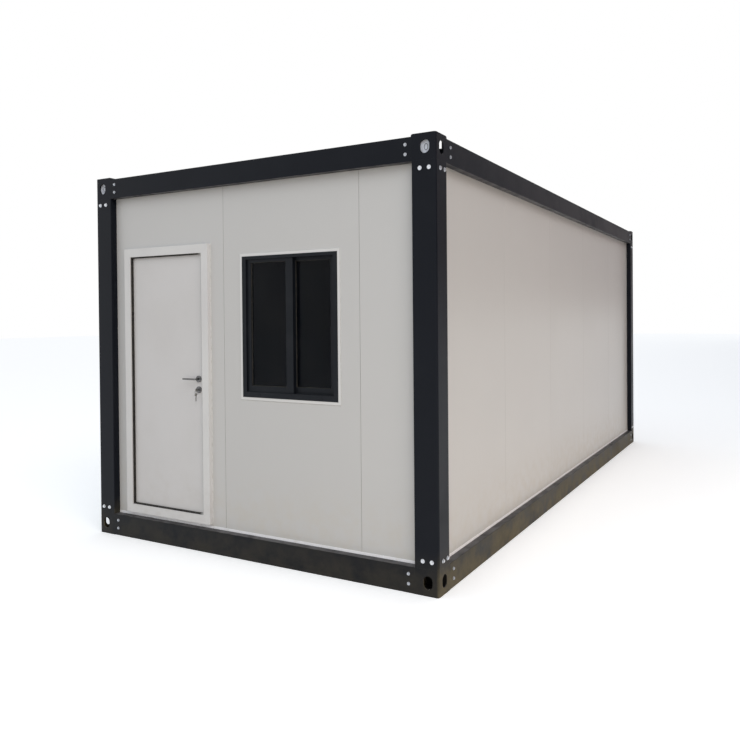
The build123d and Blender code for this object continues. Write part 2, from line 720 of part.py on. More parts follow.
def hinges():
    """Butt hinges in the rebate: a plate and two knuckles with the pin on the jamb, one on the leaf."""
    radius = HINGE_KNUCKLE / 2
    part = HINGE_LENGTH / 3
    gap = HINGE_KNUCKLE_GAP
    wall = DOOR_LEFT - DOOR_REBATE
    axis = Pos(HINGE_X, HINGE_Y, 0)
    jamb_plate = block(wall, wall + HINGE_PLATE, HINGE_Y, END_FACE + WALL_BACK, 0, HINGE_LENGTH)
    slot = block(wall, HINGE_X + 2 * radius, LEAF_BACK, HINGE_Y + radius + gap, part, 2 * part)
    pin = axis * upright(HINGE_PIN / 2, HINGE_LENGTH)
    jamb_half = jamb_plate + axis * upright(radius, HINGE_LENGTH) - slot + pin
    near = HINGE_X + radius + gap
    far = HINGE_X + HINGE_PLATE_WIDTH
    back = LEAF_BACK + HINGE_PLATE
    low_knuckle, high_knuckle = part + gap, 2 * part - gap
    leaf_plate = block(near, far, LEAF_BACK, back, 0, HINGE_LENGTH)
    leaf_plate += block(HINGE_X, near, LEAF_BACK, back, low_knuckle, high_knuckle)
    leaf_knuckle = axis * Pos(0, 0, low_knuckle) * upright(radius, high_knuckle - low_knuckle)
    leaf_half = leaf_plate + leaf_knuckle - axis * upright(HINGE_PIN / 2 + HINGE_PIN_FIT, HINGE_LENGTH)
    low = DOOR_FOOT + HINGE_END_IN
    high = DOOR_TOP - HINGE_END_IN
    step = (high - low) / (HINGE_COUNT - 1)
    feet = [low + step * i - HINGE_LENGTH / 2 for i in range(HINGE_COUNT)]
    save("hinge_jamb_halves", *[Pos(0, 0, z) * jamb_half for z in feet])
    save("hinge_leaf_halves", *[Pos(0, 0, z) * leaf_half for z in feet])


def lever():
    """Two round levers, one on each face of the leaf, on one square spindle."""
    levers = []
    for face, way in ((LEAF_FRONT, -1), (LEAF_BACK, 1)):
        start = (LOCK_X, face + way * LEVER_FIT, LEVER_HEIGHT)
        elbow = (LOCK_X, face + way * LEVER_STANDOFF, LEVER_HEIGHT)
        tip = (LOCK_X - LEVER_LENGTH, face + way * LEVER_STANDOFF, LEVER_HEIGHT)
        path = FilletPolyline(start, elbow, tip, radius=LEVER_BEND)
        bar = sweep(Plane(origin=start, z_dir=(0, way, 0)) * Circle(LEVER_DIAMETER / 2), path=path)
        end_cap = bar.faces().sort_by_distance(tip)[0]
        levers.append(fillet(end_cap.edges(), LEVER_TIP_ROUND))
    middle = (LEAF_FRONT + LEAF_BACK) / 2
    spindle = Pos(LOCK_X, middle, LEVER_HEIGHT) * Box(SPINDLE, LEAF_THICKNESS + ROSE_THICKNESS, SPINDLE)
    save("door_lever", levers[0] + levers[1] + spindle)


def rose(way):
    """A round plate against a face of the leaf, its back at the origin and its front edge rounded."""
    disc = Pos(0, way * ROSE_THICKNESS / 2, 0) * lying(ROSE_DIAMETER / 2, ROSE_THICKNESS)
    front_edge = disc.edges().sort_by(Axis.Y)[-1 if way > 0 else 0]
    return fillet(front_edge, ROSE_ROUND)


def lock_furniture():
    """Round roses for the lever, round escutcheons and the cylinder for the key, and the forend."""
    middle = (LEAF_FRONT + LEAF_BACK) / 2
    length = LEAF_THICKNESS + 2 * ROSE_THICKNESS + 2 * CYLINDER_PROUD
    cylinder = Pos(LOCK_X, middle, CYLINDER_Z) * lying(CYLINDER_DIAMETER / 2, length)
    bore = lying(LEVER_DIAMETER / 2 + LEVER_FIT, length)
    roses = []
    for face, way in ((LEAF_FRONT, -1), (LEAF_BACK, 1)):
        roses.append(Pos(LOCK_X, face, LEVER_HEIGHT) * (rose(way) - bore))
        cylinder += Pos(LOCK_X, face, CYLINDER_Z) * rose(way)
    save("lock_furniture", *roses, cylinder, forend())


def key_bow():
    """A key's round bow with its hole above the middle, drawn flat."""
    return Circle(KEY_BOW / 2) - Pos(0, KEY_BOW / 2 - KEY_HOLE) * Circle(KEY_HOLE / 2)


def key_plate(outline):
    """A key's outline as thin metal, standing in the plane of y and z."""
    metal = extrude(Plane.YZ * outline, amount=KEY_THICKNESS, dir=(1, 0, 0))
    return Pos(-KEY_THICKNESS / 2, 0, 0) * metal


def keys():
    """One key in the lock, a ring through its bow, and a second key hanging from the ring."""
    face = LEAF_FRONT - ROSE_THICKNESS - CYLINDER_PROUD
    bow_y = face - KEY_STANDOUT - KEY_BOW / 2
    neck = bow_y + KEY_BOW / 4
    stub = Pos(0, (neck + face) / 2, 0) * Box(KEY_THICKNESS, face - neck, KEY_BLADE_WIDTH)
    bow = Pos(0, bow_y, 0) * Rot(90, 0, 0) * key_plate(key_bow())
    first = Pos(LOCK_X, 0, CYLINDER_Z) * (bow + stub)
    hole_in = KEY_BOW / 2 - KEY_HOLE
    ring_y = bow_y - hole_in
    drop = KEY_HOLE / 2 - RING_WIRE
    ring_z = CYLINDER_Z - drop - RING_DIAMETER / 2
    ring = Pos(LOCK_X, ring_y, ring_z) * Rot(90, 0, 0) * Torus(RING_DIAMETER / 2, RING_WIRE / 2)
    blade_length = KEY_BLADE_LENGTH + KEY_BOW / 2
    blade = Pos(0, -(KEY_BOW + KEY_BLADE_LENGTH) / 2) * Rectangle(KEY_BLADE_WIDTH, blade_length)
    second_z = ring_z - RING_DIAMETER / 2 - drop - hole_in
    second = Pos(LOCK_X, ring_y, second_z) * key_plate(key_bow() + blade)
    save("door_keys", first, ring, second)


def bars(outline, widths, y0, y1):
    """A rectangular frame in the wall, with a left, right, lower and upper bar."""
    x0, x1, z0, z1 = outline
    left, right, low, top = widths
    hole = block(x0 + left, x1 - right, y0 - CUT, y1 + CUT, z0 + low, z1 - top)
    return block(x0, x1, y0, y1, z0, z1) - hole


def sash(outline, widths, y):
    """A sliding sash with a groove round its inside, and the pane that sits in the groove."""
    x0, x1, z0, z1 = outline
    left, right, low, top = (width - GLASS_GROOVE for width in widths)
    glass_y = y + (SASH_DEPTH - GLASS_THICKNESS) / 2
    pane = block(x0 + left, x1 - right, glass_y, glass_y + GLASS_THICKNESS, z0 + low, z1 - top)
    return bars(outline, widths, y, y + SASH_DEPTH) - pane, pane


def window():
    """The window: frame with a rib between its tracks, two sashes, two panes and two trims."""
    outline = (WINDOW_LEFT, WINDOW_RIGHT, WINDOW_SILL, WINDOW_TOP)
    wall_front = END_FACE + WALL_RECESS
    wall_back = END_FACE + WALL_BACK
    back = wall_back + WINDOW_TRIM_PROUD
    low = WINDOW_SILL + WINDOW_SILL_BAR
    top = WINDOW_TOP - WINDOW_HEAD
    x0 = WINDOW_LEFT + WINDOW_JAMB
    x1 = WINDOW_RIGHT - WINDOW_JAMB
    first_y = WINDOW_FRONT + SASH_FIRST_BACK
    rib_y = first_y + SASH_DEPTH
    second_y = rib_y + SASH_TRACK_RIB
    frame_bars = bars(outline, (WINDOW_JAMB, WINDOW_JAMB, WINDOW_SILL_BAR, WINDOW_HEAD), WINDOW_FRONT, back)
    rib = bars((x0, x1, low, top), [SASH_TRACK_RIB] * 4, rib_y, second_y)
    save("window_frame", frame_bars + rib)
    middle = (x0 + x1) / 2
    half = SASH_OVERLAP / 2
    rails = (SASH_BOTTOM_RAIL, SASH_TOP_RAIL)
    outer_sash = sash((x0, middle + half, low, top), (SASH_STILE, SASH_MEETING_STILE, *rails), first_y)
    inner_sash = sash((middle - half, x1, low, top), (SASH_MEETING_STILE, SASH_LOCK_STILE, *rails), second_y)
    save("window_sashes", outer_sash[0], inner_sash[0])
    save("window_glass", outer_sash[1], inner_sash[1])
    w = WINDOW_TRIM
    trim_outline = (WINDOW_LEFT - w, WINDOW_RIGHT + w, WINDOW_SILL - w, WINDOW_TOP + w)
    outer_trim = bars(trim_outline, [w] * 4, wall_front - WINDOW_TRIM_PROUD, wall_front)
    inner_trim = bars(trim_outline, [w] * 4, wall_back, back)
    save("window_trims", outer_trim, inner_trim)


os.makedirs("parts", exist_ok=True)
frame()
roof_and_floor()
walls()
tracks_and_trims()
rain_pipes()
door_frame()
door_leaf()
hinges()
lever()
lock_furniture()
keys()
window()
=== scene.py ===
import math
import random

import bmesh
import bpy
from mathutils import Matrix, Vector


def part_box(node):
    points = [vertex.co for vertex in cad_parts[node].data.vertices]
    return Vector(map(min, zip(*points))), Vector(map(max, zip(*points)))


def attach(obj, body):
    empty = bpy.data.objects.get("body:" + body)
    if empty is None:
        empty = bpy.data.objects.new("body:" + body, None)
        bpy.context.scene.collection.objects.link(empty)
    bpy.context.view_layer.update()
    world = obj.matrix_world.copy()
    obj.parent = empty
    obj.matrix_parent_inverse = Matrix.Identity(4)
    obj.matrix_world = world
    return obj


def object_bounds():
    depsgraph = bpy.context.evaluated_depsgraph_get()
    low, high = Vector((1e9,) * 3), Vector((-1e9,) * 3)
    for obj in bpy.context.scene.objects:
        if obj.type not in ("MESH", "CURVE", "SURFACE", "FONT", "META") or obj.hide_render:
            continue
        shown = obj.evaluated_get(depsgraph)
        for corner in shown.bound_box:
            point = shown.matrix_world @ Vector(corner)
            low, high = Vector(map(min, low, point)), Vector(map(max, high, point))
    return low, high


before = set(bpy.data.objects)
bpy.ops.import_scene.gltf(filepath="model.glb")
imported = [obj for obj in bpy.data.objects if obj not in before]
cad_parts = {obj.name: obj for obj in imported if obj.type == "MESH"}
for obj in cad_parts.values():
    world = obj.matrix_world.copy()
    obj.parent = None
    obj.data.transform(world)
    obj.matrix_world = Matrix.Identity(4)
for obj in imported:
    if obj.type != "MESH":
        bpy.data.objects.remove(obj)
cad_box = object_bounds()

# The steel frame of a flat-packed cabin: posts and beams rolled from 3 mm sheet, and corner castings
# welded from 6 mm plate. Each piece is sprayed dark graphite blue in the works before it is bolted up.
# Sand and splashed mud dull the floor beams; on their long sides this is also a painted reflection of the
# ground, and the pale dust on ledges is also a painted sheen. Slings and boots have scuffed the paint.
STEEL = ("corner_post", "top_casting", "bottom_casting", "roof_beam", "floor_beam")
PAINT_BLUE = (0.0036, 0.0050, 0.0090, 1)
PAINT_CHALKED = (0.0072, 0.0088, 0.0130, 1)
PAINT_EDGE = (0.0300, 0.0310, 0.0340, 1)
SAND_AND_GROUND_REFLECTION = (0.1250, 0.1080, 0.0700, 1)
LEDGE_DUST_AND_SHEEN = (0.2300, 0.2200, 0.2250, 1)
SPLASH_TOP = 0.30
SCUFF = (0.012, 0.25, 0.08)


def node(tree, kind, settings, sockets, output=0):
    """Adds any node: its settings first, then the values or wires of its sockets."""
    made = tree.nodes.new("ShaderNode" + kind)
    for name, value in settings.items():
        if name == "stops":
            for stop, (place, colour) in zip(made.color_ramp.elements, value):
                stop.position = place
                stop.color = colour
        else:
            setattr(made, name, value)
    live = [s for s in made.inputs if s.enabled]
    for name, value in sockets.items():
        socket = live[name] if isinstance(name, int) else next(s for s in live if s.name == name)
        if isinstance(value, Wire):
            tree.links.new(value.socket, socket)
        else:
            socket.default_value = value
    live = [s for s in made.outputs if s.enabled]
    if live:
        return Wire(live[output] if isinstance(output, int) else made.outputs[output])


class Wire:
    """A socket in a finish's node tree. Sums written with it add Math nodes to that tree."""

    def __init__(self, socket):
        self.socket = socket

    def sum(self, operation, *values):
        return node(self.socket.id_data, "Math", {"operation": operation}, dict(enumerate(values)))

    def __add__(self, other):
        return self.sum("ADD", self, other)

    def __sub__(self, other):
        return self.sum("SUBTRACT", self, other)

    def __rsub__(self, other):
        return self.sum("SUBTRACT", other, self)

    def __mul__(self, other):
        return self.sum("MULTIPLY", self, other)

    def __truediv__(self, other):
        return self.sum("DIVIDE", self, other)

    def __floordiv__(self, other):
        return self.sum("FLOOR", self / other)

    def __mod__(self, other):
        return self.sum("FLOORED_MODULO", self, other)

    def __gt__(self, other):
        return self.sum("GREATER_THAN", self, other)

    def __abs__(self):
        return self.sum("ABSOLUTE", self)

    __radd__ = __add__
    __rmul__ = __mul__


class Finish:
    """One finish of the cabin: a material whose colour, gloss and surface vary over the real piece."""

    def __init__(self, name):
        self.material = bpy.data.materials.new(name)
        self.material.use_nodes = True
        self.tree = self.material.node_tree
        self.tree.nodes.clear()
        self.place = self.node("TexCoord", {}, {}, "Object")
        self.x, self.y, self.z = (self.node("SeparateXYZ", {}, {0: self.place}, i) for i in range(3))

    def node(self, kind, settings, sockets, output=0):
        return node(self.tree, kind, settings, sockets, output)

    def stretched(self, x, y, z):
        """The place on the cabin, drawn out along the axes with the smaller numbers."""
        return self.node("VectorMath", {"operation": "MULTIPLY"}, {0: self.place, 1: (x, y, z)})

    def cloud(self, size, detail=3, place=None, rough=0.5):
        """Soft noise from 0 to 1, with lumps of about this size in metres."""
        sockets = {"Vector": place or self.place, "Scale": 1 / size, "Detail": detail, "Roughness": rough}
        return self.node("TexNoise", {}, sockets)

    def cells(self, size):
        """A chance value from 0 to 1 for each of many small cells of about this size."""
        colour = self.node("TexVoronoi", {}, {"Vector": self.place, "Scale": 1 / size}, "Color")
        return self.node("SeparateXYZ", {}, {0: colour})

    def ease(self, value, low, high):
        """0 at one value and 1 at the other, with a smooth rise between them."""
        settings = {"interpolation_type": "SMOOTHSTEP"}
        return self.node("MapRange", settings, {"Value": value, "From Min": low, "From Max": high})

    def mix(self, mask, first, second):
        """The first colour where the mask is 0 and the second where it is 1."""
        return self.node("Mix", {"data_type": "RGBA"}, {"Factor": mask, "A": first, "B": second})

    def rounded(self, radius):
        """The surface's direction, with its sharp edges eased over a small radius."""
        return self.node("Bevel", {"samples": 4}, {"Radius": radius})

    def edges(self, radius):
        """A mask of the sharp edges, about as wide as the radius."""
        flat = self.node("NewGeometry", {}, {}, "Normal")
        sockets = {0: flat, 1: self.rounded(radius)}
        return 1 - self.node("VectorMath", {"operation": "DOT_PRODUCT"}, sockets)

    def bump(self, height, distance, normal=None):
        """Small relief, whose height of 1 stands this far out of the surface in metres."""
        sockets = {"Height": height, "Distance": distance, "Filter Width": 1.0}
        if normal:
            sockets["Normal"] = normal
        return self.node("Bump", {}, sockets)

    def shade(self, **sockets):
        """The finish's shader. A socket's name is written with _ for its spaces."""
        given = {name.replace("_", " "): value for name, value in sockets.items()}
        self.node("OutputMaterial", {}, {"Surface": self.node("BsdfPrincipled", {}, given)})
        return self.material


def frame_paint():
    """Satin paint: orange peel, chalky patches, pale worn edges, sandy grit low down that is also a painted
    ground reflection on the long sides, and ledge dust that is also a painted sheen.
    """
    paint = Finish("frame_paint")
    chalk = paint.ease(paint.cloud(0.35, 4), 0.42, 0.72)
    runs = paint.cloud(0.05, 3, paint.stretched(1, 1, 0.06))
    direction = paint.node("NewGeometry", {}, {}, "Normal")
    sideways, upward = (abs(paint.node("SeparateXYZ", {}, {0: direction}, i)) for i in (0, 2))
    sand_and_reflection = paint.ease(paint.z, SPLASH_TOP, 0.05) * paint.ease(paint.cloud(0.16, 5, rough=0.65), 0.20, 0.70)
    # Faces turned to the long sides take more of it: there it is a painted reflection of the ground as well
    # as sandy grit.
    sand_and_reflection = sand_and_reflection * (0.20 + sideways * 0.80)
    # Faces turned up or down take a pale lilac grey: dust, and on the ledges also a painted sheen of light.
    dust = paint.ease(upward, 0.6, 0.95) * paint.ease(paint.cloud(0.09, 4), 0.20, 0.75)
    size, along_end, along_side = SCUFF
    scuffs = paint.ease(paint.cloud(size, 2, paint.stretched(along_end, along_side, 1)), 0.68, 0.78)
    scuffs = scuffs * paint.ease(paint.cloud(0.5, 2), 0.50, 0.70)
    worn = paint.ease(paint.edges(0.0022) + paint.cloud(0.03, 3) * 0.16, 0.17, 0.40)
    colour = paint.mix(chalk * 0.6 + runs * 0.25, PAINT_BLUE, PAINT_CHALKED)
    colour = paint.mix(sand_and_reflection * 0.95, colour, SAND_AND_GROUND_REFLECTION)
    colour = paint.mix(dust * 0.40, colour, LEDGE_DUST_AND_SHEEN)
    colour = paint.mix(scuffs * 0.30, colour, PAINT_EDGE)
    peel = paint.cloud(0.0035, 2) + paint.cloud(0.11, 2) * 3
    return paint.shade(
        Base_Color=paint.mix(worn * 0.55, colour, PAINT_EDGE),
        Roughness=0.38 + chalk * 0.10 + sand_and_reflection * 0.30 - scuffs * 0.06,
        Normal=paint.bump(peel, 0.00008, paint.rounded(0.0018)),
        Specular_IOR_Level=0.14,
    )


def coat(material, *names):
    """Gives CAD nodes their finish."""
    for name in names:
        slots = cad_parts[name].data.materials
        slots.clear()
        slots.append(material)


coat(frame_paint(), *[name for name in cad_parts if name.startswith(STEEL)])

# Flanged hex bolts, zinc plated. Bright M12 ones join each post to its castings, two in a row across
# each face. Duller M10 ones join each beam's end to the tongue in it, two above one another. A bolt's
# size is the radius of its flange, that of its hexagon's top bevel, and its height.
POST_BOLT = (0.0135, 0.0098, 0.0085)
BEAM_BOLT = (0.0108, 0.0080, 0.0070)
POST_BOLTS_IN = {"end": (0.047, 0.109), "side": (0.060, 0.122)}
POST_BOLTS_FROM_SEAM = 0.046
BEAM_BOLTS_IN = 0.208
BEAM_BOLTS_UP = {"top": (2.682, 2.742), "bottom": (0.057, 0.118)}
ZINC_BRIGHT = (0.76, 0.78, 0.82, 1)
ZINC_GREY = (0.50, 0.52, 0.56, 1)


def zinc(name, bright, roughness):
    """Zinc: faintly clouded metal with dull specks."""
    metal = Finish(name)
    clouds = metal.ease(metal.cloud(0.009, 4), 0.35, 0.75)
    dull = (*(c * 0.78 for c in bright[:3]), 1)
    return metal.shade(
        Base_Color=metal.mix(clouds, bright, dull),
        Metallic=1.0,
        Roughness=roughness + clouds * 0.14,
        Normal=metal.bump(metal.cloud(0.0015, 2), 0.00004, metal.rounded(0.0006)),
    )


def skin(bm, rows, capped=True):
    """Faces between rows of points, each row a closed loop. The ends are capped, or meet each other."""
    for row, after in zip(rows, rows[1:] if capped else rows[1:] + rows[:1]):
        for i in range(len(row)):
            j = (i + 1) % len(row)
            bm.faces.new((row[i], row[j], after[j], after[i]))
    if capped:
        bm.faces.new(rows[-1])
        bm.faces.new(reversed(rows[0]))


def turned(bm, place, profile, sides):
    """Adds a turned or prismatic form, whose profile is rings of (radius, height)."""
    turns = [math.tau * i / sides for i in range(sides)]
    rows = []
    for radius, height in profile:
        spots = [Vector((radius * math.cos(a), radius * math.sin(a), height)) for a in turns]
        rows.append([bm.verts.new(place @ spot) for spot in spots])
    skin(bm, rows)


def facing(spot, direction, roll=0.0):
    """A place on a face: its own +Z points out along the direction."""
    turn = Vector(direction).to_track_quat("Z", "Y").to_matrix().to_4x4()
    return Matrix.Translation(spot) @ turn @ Matrix.Rotation(roll, 4, "Z")


def add_piece(name, bm, material, body="cabin", smooth=35):
    """Makes a piece of the scene from its mesh and lets it ride on its body."""
    bmesh.ops.recalc_face_normals(bm, faces=bm.faces)
    mesh = bpy.data.meshes.new(name)
    bm.to_mesh(mesh)
    bm.free()
    mesh.shade_smooth()
    mesh.set_sharp_from_angle(angle=math.radians(smooth))
    mesh.materials.append(material)
    piece = bpy.data.objects.new(name, mesh)
    bpy.context.scene.collection.objects.link(piece)
    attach(piece, body)


def hex_bolt(bm, spot, direction, size):
    """A flange that thins to its rim and a chamfered hexagon, left at a chance angle."""
    place = facing(spot, direction, random.uniform(0, math.tau))
    rim, across, tall = size
    turned(bm, place, [(rim, -0.001), (rim, 0.0010), (rim * 0.96, 0.0015), (across, 0.0026)], 24)
    turned(bm, place, [(across * 1.09, 0.001), (across * 1.09, tall * 0.88), (across * 0.93, tall)], 6)


random.seed(20)
half_wide, half_long, roof_top = cad_box[1]
top_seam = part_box("top_casting_front_left")[0].z
seams = {"top": top_seam, "bottom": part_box("bottom_casting_front_left")[1].z}
post_bolts, beam_bolts = bmesh.new(), bmesh.new()
for side in (-1, 1):
    for end in (-1, 1):
        for level, away in (("top", -1), ("bottom", 1)):
            z = seams[level] + away * POST_BOLTS_FROM_SEAM
            for inward in POST_BOLTS_IN["end"]:
                on_end = (side * (half_wide - inward), end * half_long, z)
                hex_bolt(post_bolts, on_end, (0, end, 0), POST_BOLT)
            for inward in POST_BOLTS_IN["side"]:
                on_side = (side * half_wide, end * (half_long - inward), z)
                hex_bolt(post_bolts, on_side, (side, 0, 0), POST_BOLT)
            for z in BEAM_BOLTS_UP[level]:
                on_end = (side * (half_wide - BEAM_BOLTS_IN), end * half_long, z)
                on_side = (side * half_wide, end * (half_long - BEAM_BOLTS_IN), z)
                hex_bolt(beam_bolts, on_end, (0, end, 0), BEAM_BOLT)
                hex_bolt(beam_bolts, on_side, (side, 0, 0), BEAM_BOLT)
add_piece("post_bolts", post_bolts, zinc("bright_zinc", ZINC_BRIGHT, 0.29))
dull_zinc = zinc("dull_zinc", ZINC_GREY, 0.38)
add_piece("beam_bolts", beam_bolts, dull_zinc)

# Pale plastic rain pipes inside the posts. Each has a capped branch that shows as a pale disc through
# the end aperture of its top casting, with a dark oval rib in the middle of the cap.
PIPE_PALE = (0.680, 0.720, 0.800, 1)
PIPE_DUSTY = (0.520, 0.540, 0.590, 1)
OVAL_DARK = (0.160, 0.170, 0.200, 1)
OVAL_DUSTY = (0.120, 0.120, 0.130, 1)
PIPE_FROM_SIDE = 0.074
CAP_DISHED = 0.0035
CAP_OVAL = (0.0115, 0.0185)
CAP_RIB = 0.0042


def pipe_plastic(name, pale, dusty):
    """Dull grey plastic, dusty, with faint drawing marks along the pipe."""
    plastic = Finish(name)
    dust = plastic.ease(plastic.cloud(0.03, 4), 0.35, 0.75)
    marks = plastic.cloud(0.002, 2, plastic.stretched(1, 1, 0.02))
    return plastic.shade(
        Base_Color=plastic.mix(dust * 0.7, pale, dusty),
        Roughness=0.42 + dust * 0.25,
        Normal=plastic.bump(marks, 0.00006, plastic.rounded(0.0012)),
    )


def oval_rib(bm, place, half_across, half_up, rib, sides=32):
    """A low rounded rib that runs round an oval."""
    turns = [math.tau * i / sides for i in range(sides)]
    rows = []
    for grow, height in ((0.5, 0), (0.3, 0.4), (-0.3, 0.4), (-0.5, 0)):
        across, up = half_across + grow * rib, half_up + grow * rib
        spots = [Vector((across * math.cos(a), up * math.sin(a), height * rib)) for a in turns]
        rows.append([bm.verts.new(place @ spot) for spot in spots])
    skin(bm, rows, capped=False)


coat(pipe_plastic("pipe_plastic", PIPE_PALE, PIPE_DUSTY), "rain_pipes")
cap_ribs = bmesh.new()
for side in (-1, 1):
    for end in (-1, 1):
        cap = end * (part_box("rain_pipes")[1].y - CAP_DISHED)
        spot = (side * (half_wide - PIPE_FROM_SIDE), cap, (seams["top"] + roof_top) / 2)
        oval_rib(cap_ribs, facing(spot, (0, end, 0)), *CAP_OVAL, CAP_RIB)
dark_plastic = pipe_plastic("pipe_plastic_dark", OVAL_DARK, OVAL_DUSTY)
add_piece("pipe_cap_ribs", cap_ribs, dark_plastic, smooth=60)

# Galvanised steel left bare: rolled joists under the floor, purlins under the roof, and the tracks in
# which the wall panels stand, whose thin outer edge shows as a bright line at the walls' feet. The tracks
# are coloured near white and barely metallic, a painted glint of light on their zinc.
ZINC_DULL = ((0.34, 0.36, 0.38, 1), (0.46, 0.48, 0.50, 1))
TRACK_PAINTED_GLINT = ((0.93, 0.93, 0.96, 1), (0.97, 0.97, 1.00, 1))
ZINC_BLOOM = (0.62, 0.62, 0.60, 1)


def galvanised(name, dark, light, metallic):
    """Hot-dipped zinc with its crystals, a little white bloom and fine dirt."""
    metal = Finish(name)
    crystal = metal.cells(0.011)
    bloom = metal.ease(metal.cloud(0.06, 5), 0.52, 0.72)
    return metal.shade(
        Base_Color=metal.mix(bloom * 0.3, metal.mix(crystal, dark, light), ZINC_BLOOM),
        Metallic=metallic - bloom * metallic * 0.4,
        Roughness=0.34 + crystal * 0.12 + bloom * 0.25,
        Normal=metal.bump(crystal, 0.00003, metal.rounded(0.0008)),
    )


coat(galvanised("galvanised_sections", *ZINC_DULL, 0.9), "floor_joists", "roof_purlins")
# The track's near-white, barely metallic colour is a painted glint on its zinc.
coat(galvanised("galvanised_track_painted_glint", *TRACK_PAINTED_GLINT, 0.05), "wall_base_tracks")

# The floor: cement board on the joists, under a grey sheet vinyl with fine specks. Joins in the sheet
# run across the room, and dust has been walked in from the door.
VINYL_GREY = (0.245, 0.240, 0.230, 1)
VINYL_SPECK = (0.150, 0.145, 0.140, 1)
VINYL_DUST = (0.370, 0.345, 0.300, 1)
VINYL_WIDTH = 2.0


def sheet_vinyl():
    """Speckled vinyl with a slight grain, a join at each width and a dusty path at the door."""
    vinyl = Finish("sheet_vinyl")
    speck = vinyl.cells(0.004) > 0.72
    dust = vinyl.ease(vinyl.cloud(0.45, 5), 0.35, 0.80) * vinyl.ease(vinyl.y, 1.5, -2.9)
    join = vinyl.ease(abs(vinyl.y % VINYL_WIDTH - VINYL_WIDTH / 2), 0.0022, 0.0006)
    colour = vinyl.mix(speck * 0.7, VINYL_GREY, VINYL_SPECK)
    colour = vinyl.mix(dust * 0.6, colour, VINYL_DUST)
    return vinyl.shade(
        Base_Color=vinyl.mix(join * 0.6, colour, VINYL_SPECK),
        Roughness=0.38 + dust * 0.3,
        Normal=vinyl.bump(vinyl.cloud(0.004, 2) - join * 3, 0.00012),
    )


coat(sheet_vinyl(), "floor_deck")

# The walls: 75 mm sandwich panels with a smooth pale grey coil coating on both steel skins. They slot
# together on a tongue, so that only a fine joint shows. The skins are faintly wavy over the wool core,
# no two panels are quite the same tone, and rain has splashed dust up their feet. That warm tone at the
# feet is also a painted reflection of the ground.
PANEL_GREY = (0.580, 0.578, 0.576, 1)
PANEL_TONED = (0.556, 0.554, 0.552, 1)
PANEL_DUST_AND_WARM_REFLECTION = (0.560, 0.510, 0.430, 1)
PANEL_MODULE = 1.150
JOINT_DIRT = (0.160, 0.155, 0.145, 1)


def panel_coat(name, along, first_seam, joint_dirt):
    """Satin coil coating, with a tone for each panel and a dirty line at each joint along the wall."""
    panel = Finish(name)
    run = getattr(panel, along) - first_seam
    tone = panel.node("TexWhiteNoise", {"noise_dimensions": "1D"}, {"W": run // PANEL_MODULE})
    joint = panel.ease(abs((run + PANEL_MODULE / 2) % PANEL_MODULE - PANEL_MODULE / 2), 0.0030, 0.0008)
    haze = panel.ease(panel.cloud(0.9, 4), 0.30, 0.75)
    streaks = panel.ease(panel.cloud(0.05, 3, panel.stretched(1, 1, 0.05)), 0.55, 0.85)
    # Warmer towards the feet: splashed dust, and also a painted reflection of the ground.
    splash_and_warm_reflection = panel.ease(panel.z, 0.70, 0.16) * panel.ease(panel.cloud(0.09, 5, rough=0.6), 0.30, 0.75)
    colour = panel.mix(tone * 0.45 + haze * 0.35 + streaks * 0.15, PANEL_GREY, PANEL_TONED)
    colour = panel.mix(splash_and_warm_reflection * 0.35, colour, PANEL_DUST_AND_WARM_REFLECTION)
    waves = panel.cloud(0.55, 1, panel.stretched(1, 1, 0.35))
    return panel.shade(
        Base_Color=panel.mix(joint * joint_dirt, colour, JOINT_DIRT),
        Roughness=0.29 + haze * 0.04 + splash_and_warm_reflection * 0.20,
        Normal=panel.bump(waves, 0.0008),
        Specular_IOR_Level=0.40,
    )


front_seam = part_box("front_wall_window_panel")[0].x
end_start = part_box("rear_wall")[0].x
side_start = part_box("left_wall")[0].y
front_panels = [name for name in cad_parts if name.startswith("front_wall")]
coat(panel_coat("front_panel_coat", "x", front_seam, 0.45), *front_panels)
coat(panel_coat("rear_panel_coat", "x", end_start, 0.30), "rear_wall")
coat(panel_coat("side_panel_coat", "y", side_start, 0.12), "left_wall", "right_wall")

# Folded white angles cover the joints in the room's corners, held by small domed rivets, and the
# ceiling is white coated boards laid across the room.
CEILING_WHITE = (0.660, 0.660, 0.650, 1)
CEILING_SHADE = (0.610, 0.610, 0.600, 1)
RIVET_RADIUS = 0.0040
RIVET_PITCH = 0.300
RIVET_FROM_CORNER = 0.028
TRIM_GAUGE = 0.0015


def white_boards():
    """Matt white coating with a slight texture."""
    board = Finish("white_boards")
    haze = board.ease(board.cloud(0.6, 4), 0.35, 0.75)
    return board.shade(
        Base_Color=board.mix(haze, CEILING_WHITE, CEILING_SHADE),
        Roughness=0.50 + haze * 0.08,
        Normal=board.bump(board.cloud(0.0025, 2), 0.00006),
    )


def solids(name):
    """The lowest and highest corner of each separate solid in a CAD node, from the front backwards."""
    bm = bmesh.new()
    bm.from_mesh(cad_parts[name].data)
    bmesh.ops.remove_doubles(bm, verts=bm.verts, dist=1e-5)
    left = set(bm.verts)
    boxes = []
    while left:
        found = [left.pop()]
        for vert in found:
            joined = {edge.other_vert(vert) for edge in vert.link_edges} & left
            left -= joined
            found.extend(joined)
        boxes.append([Vector([pick(v.co[i] for v in found) for i in range(3)]) for pick in (min, max)])
    bm.free()
    return sorted(boxes, key=lambda box: (round(box[0].y, 4), box[0].x, box[0].z))


def rivet(bm, spot, direction):
    """The dome of a blind rivet with the dimple of its broken stem."""
    r = RIVET_RADIUS
    dome = [(r, -0.0004), (r, 0.0003), (r * 0.8, 0.0011), (r * 0.45, 0.0014), (r * 0.30, 0.0009)]
    turned(bm, facing(spot, direction), dome, 14)


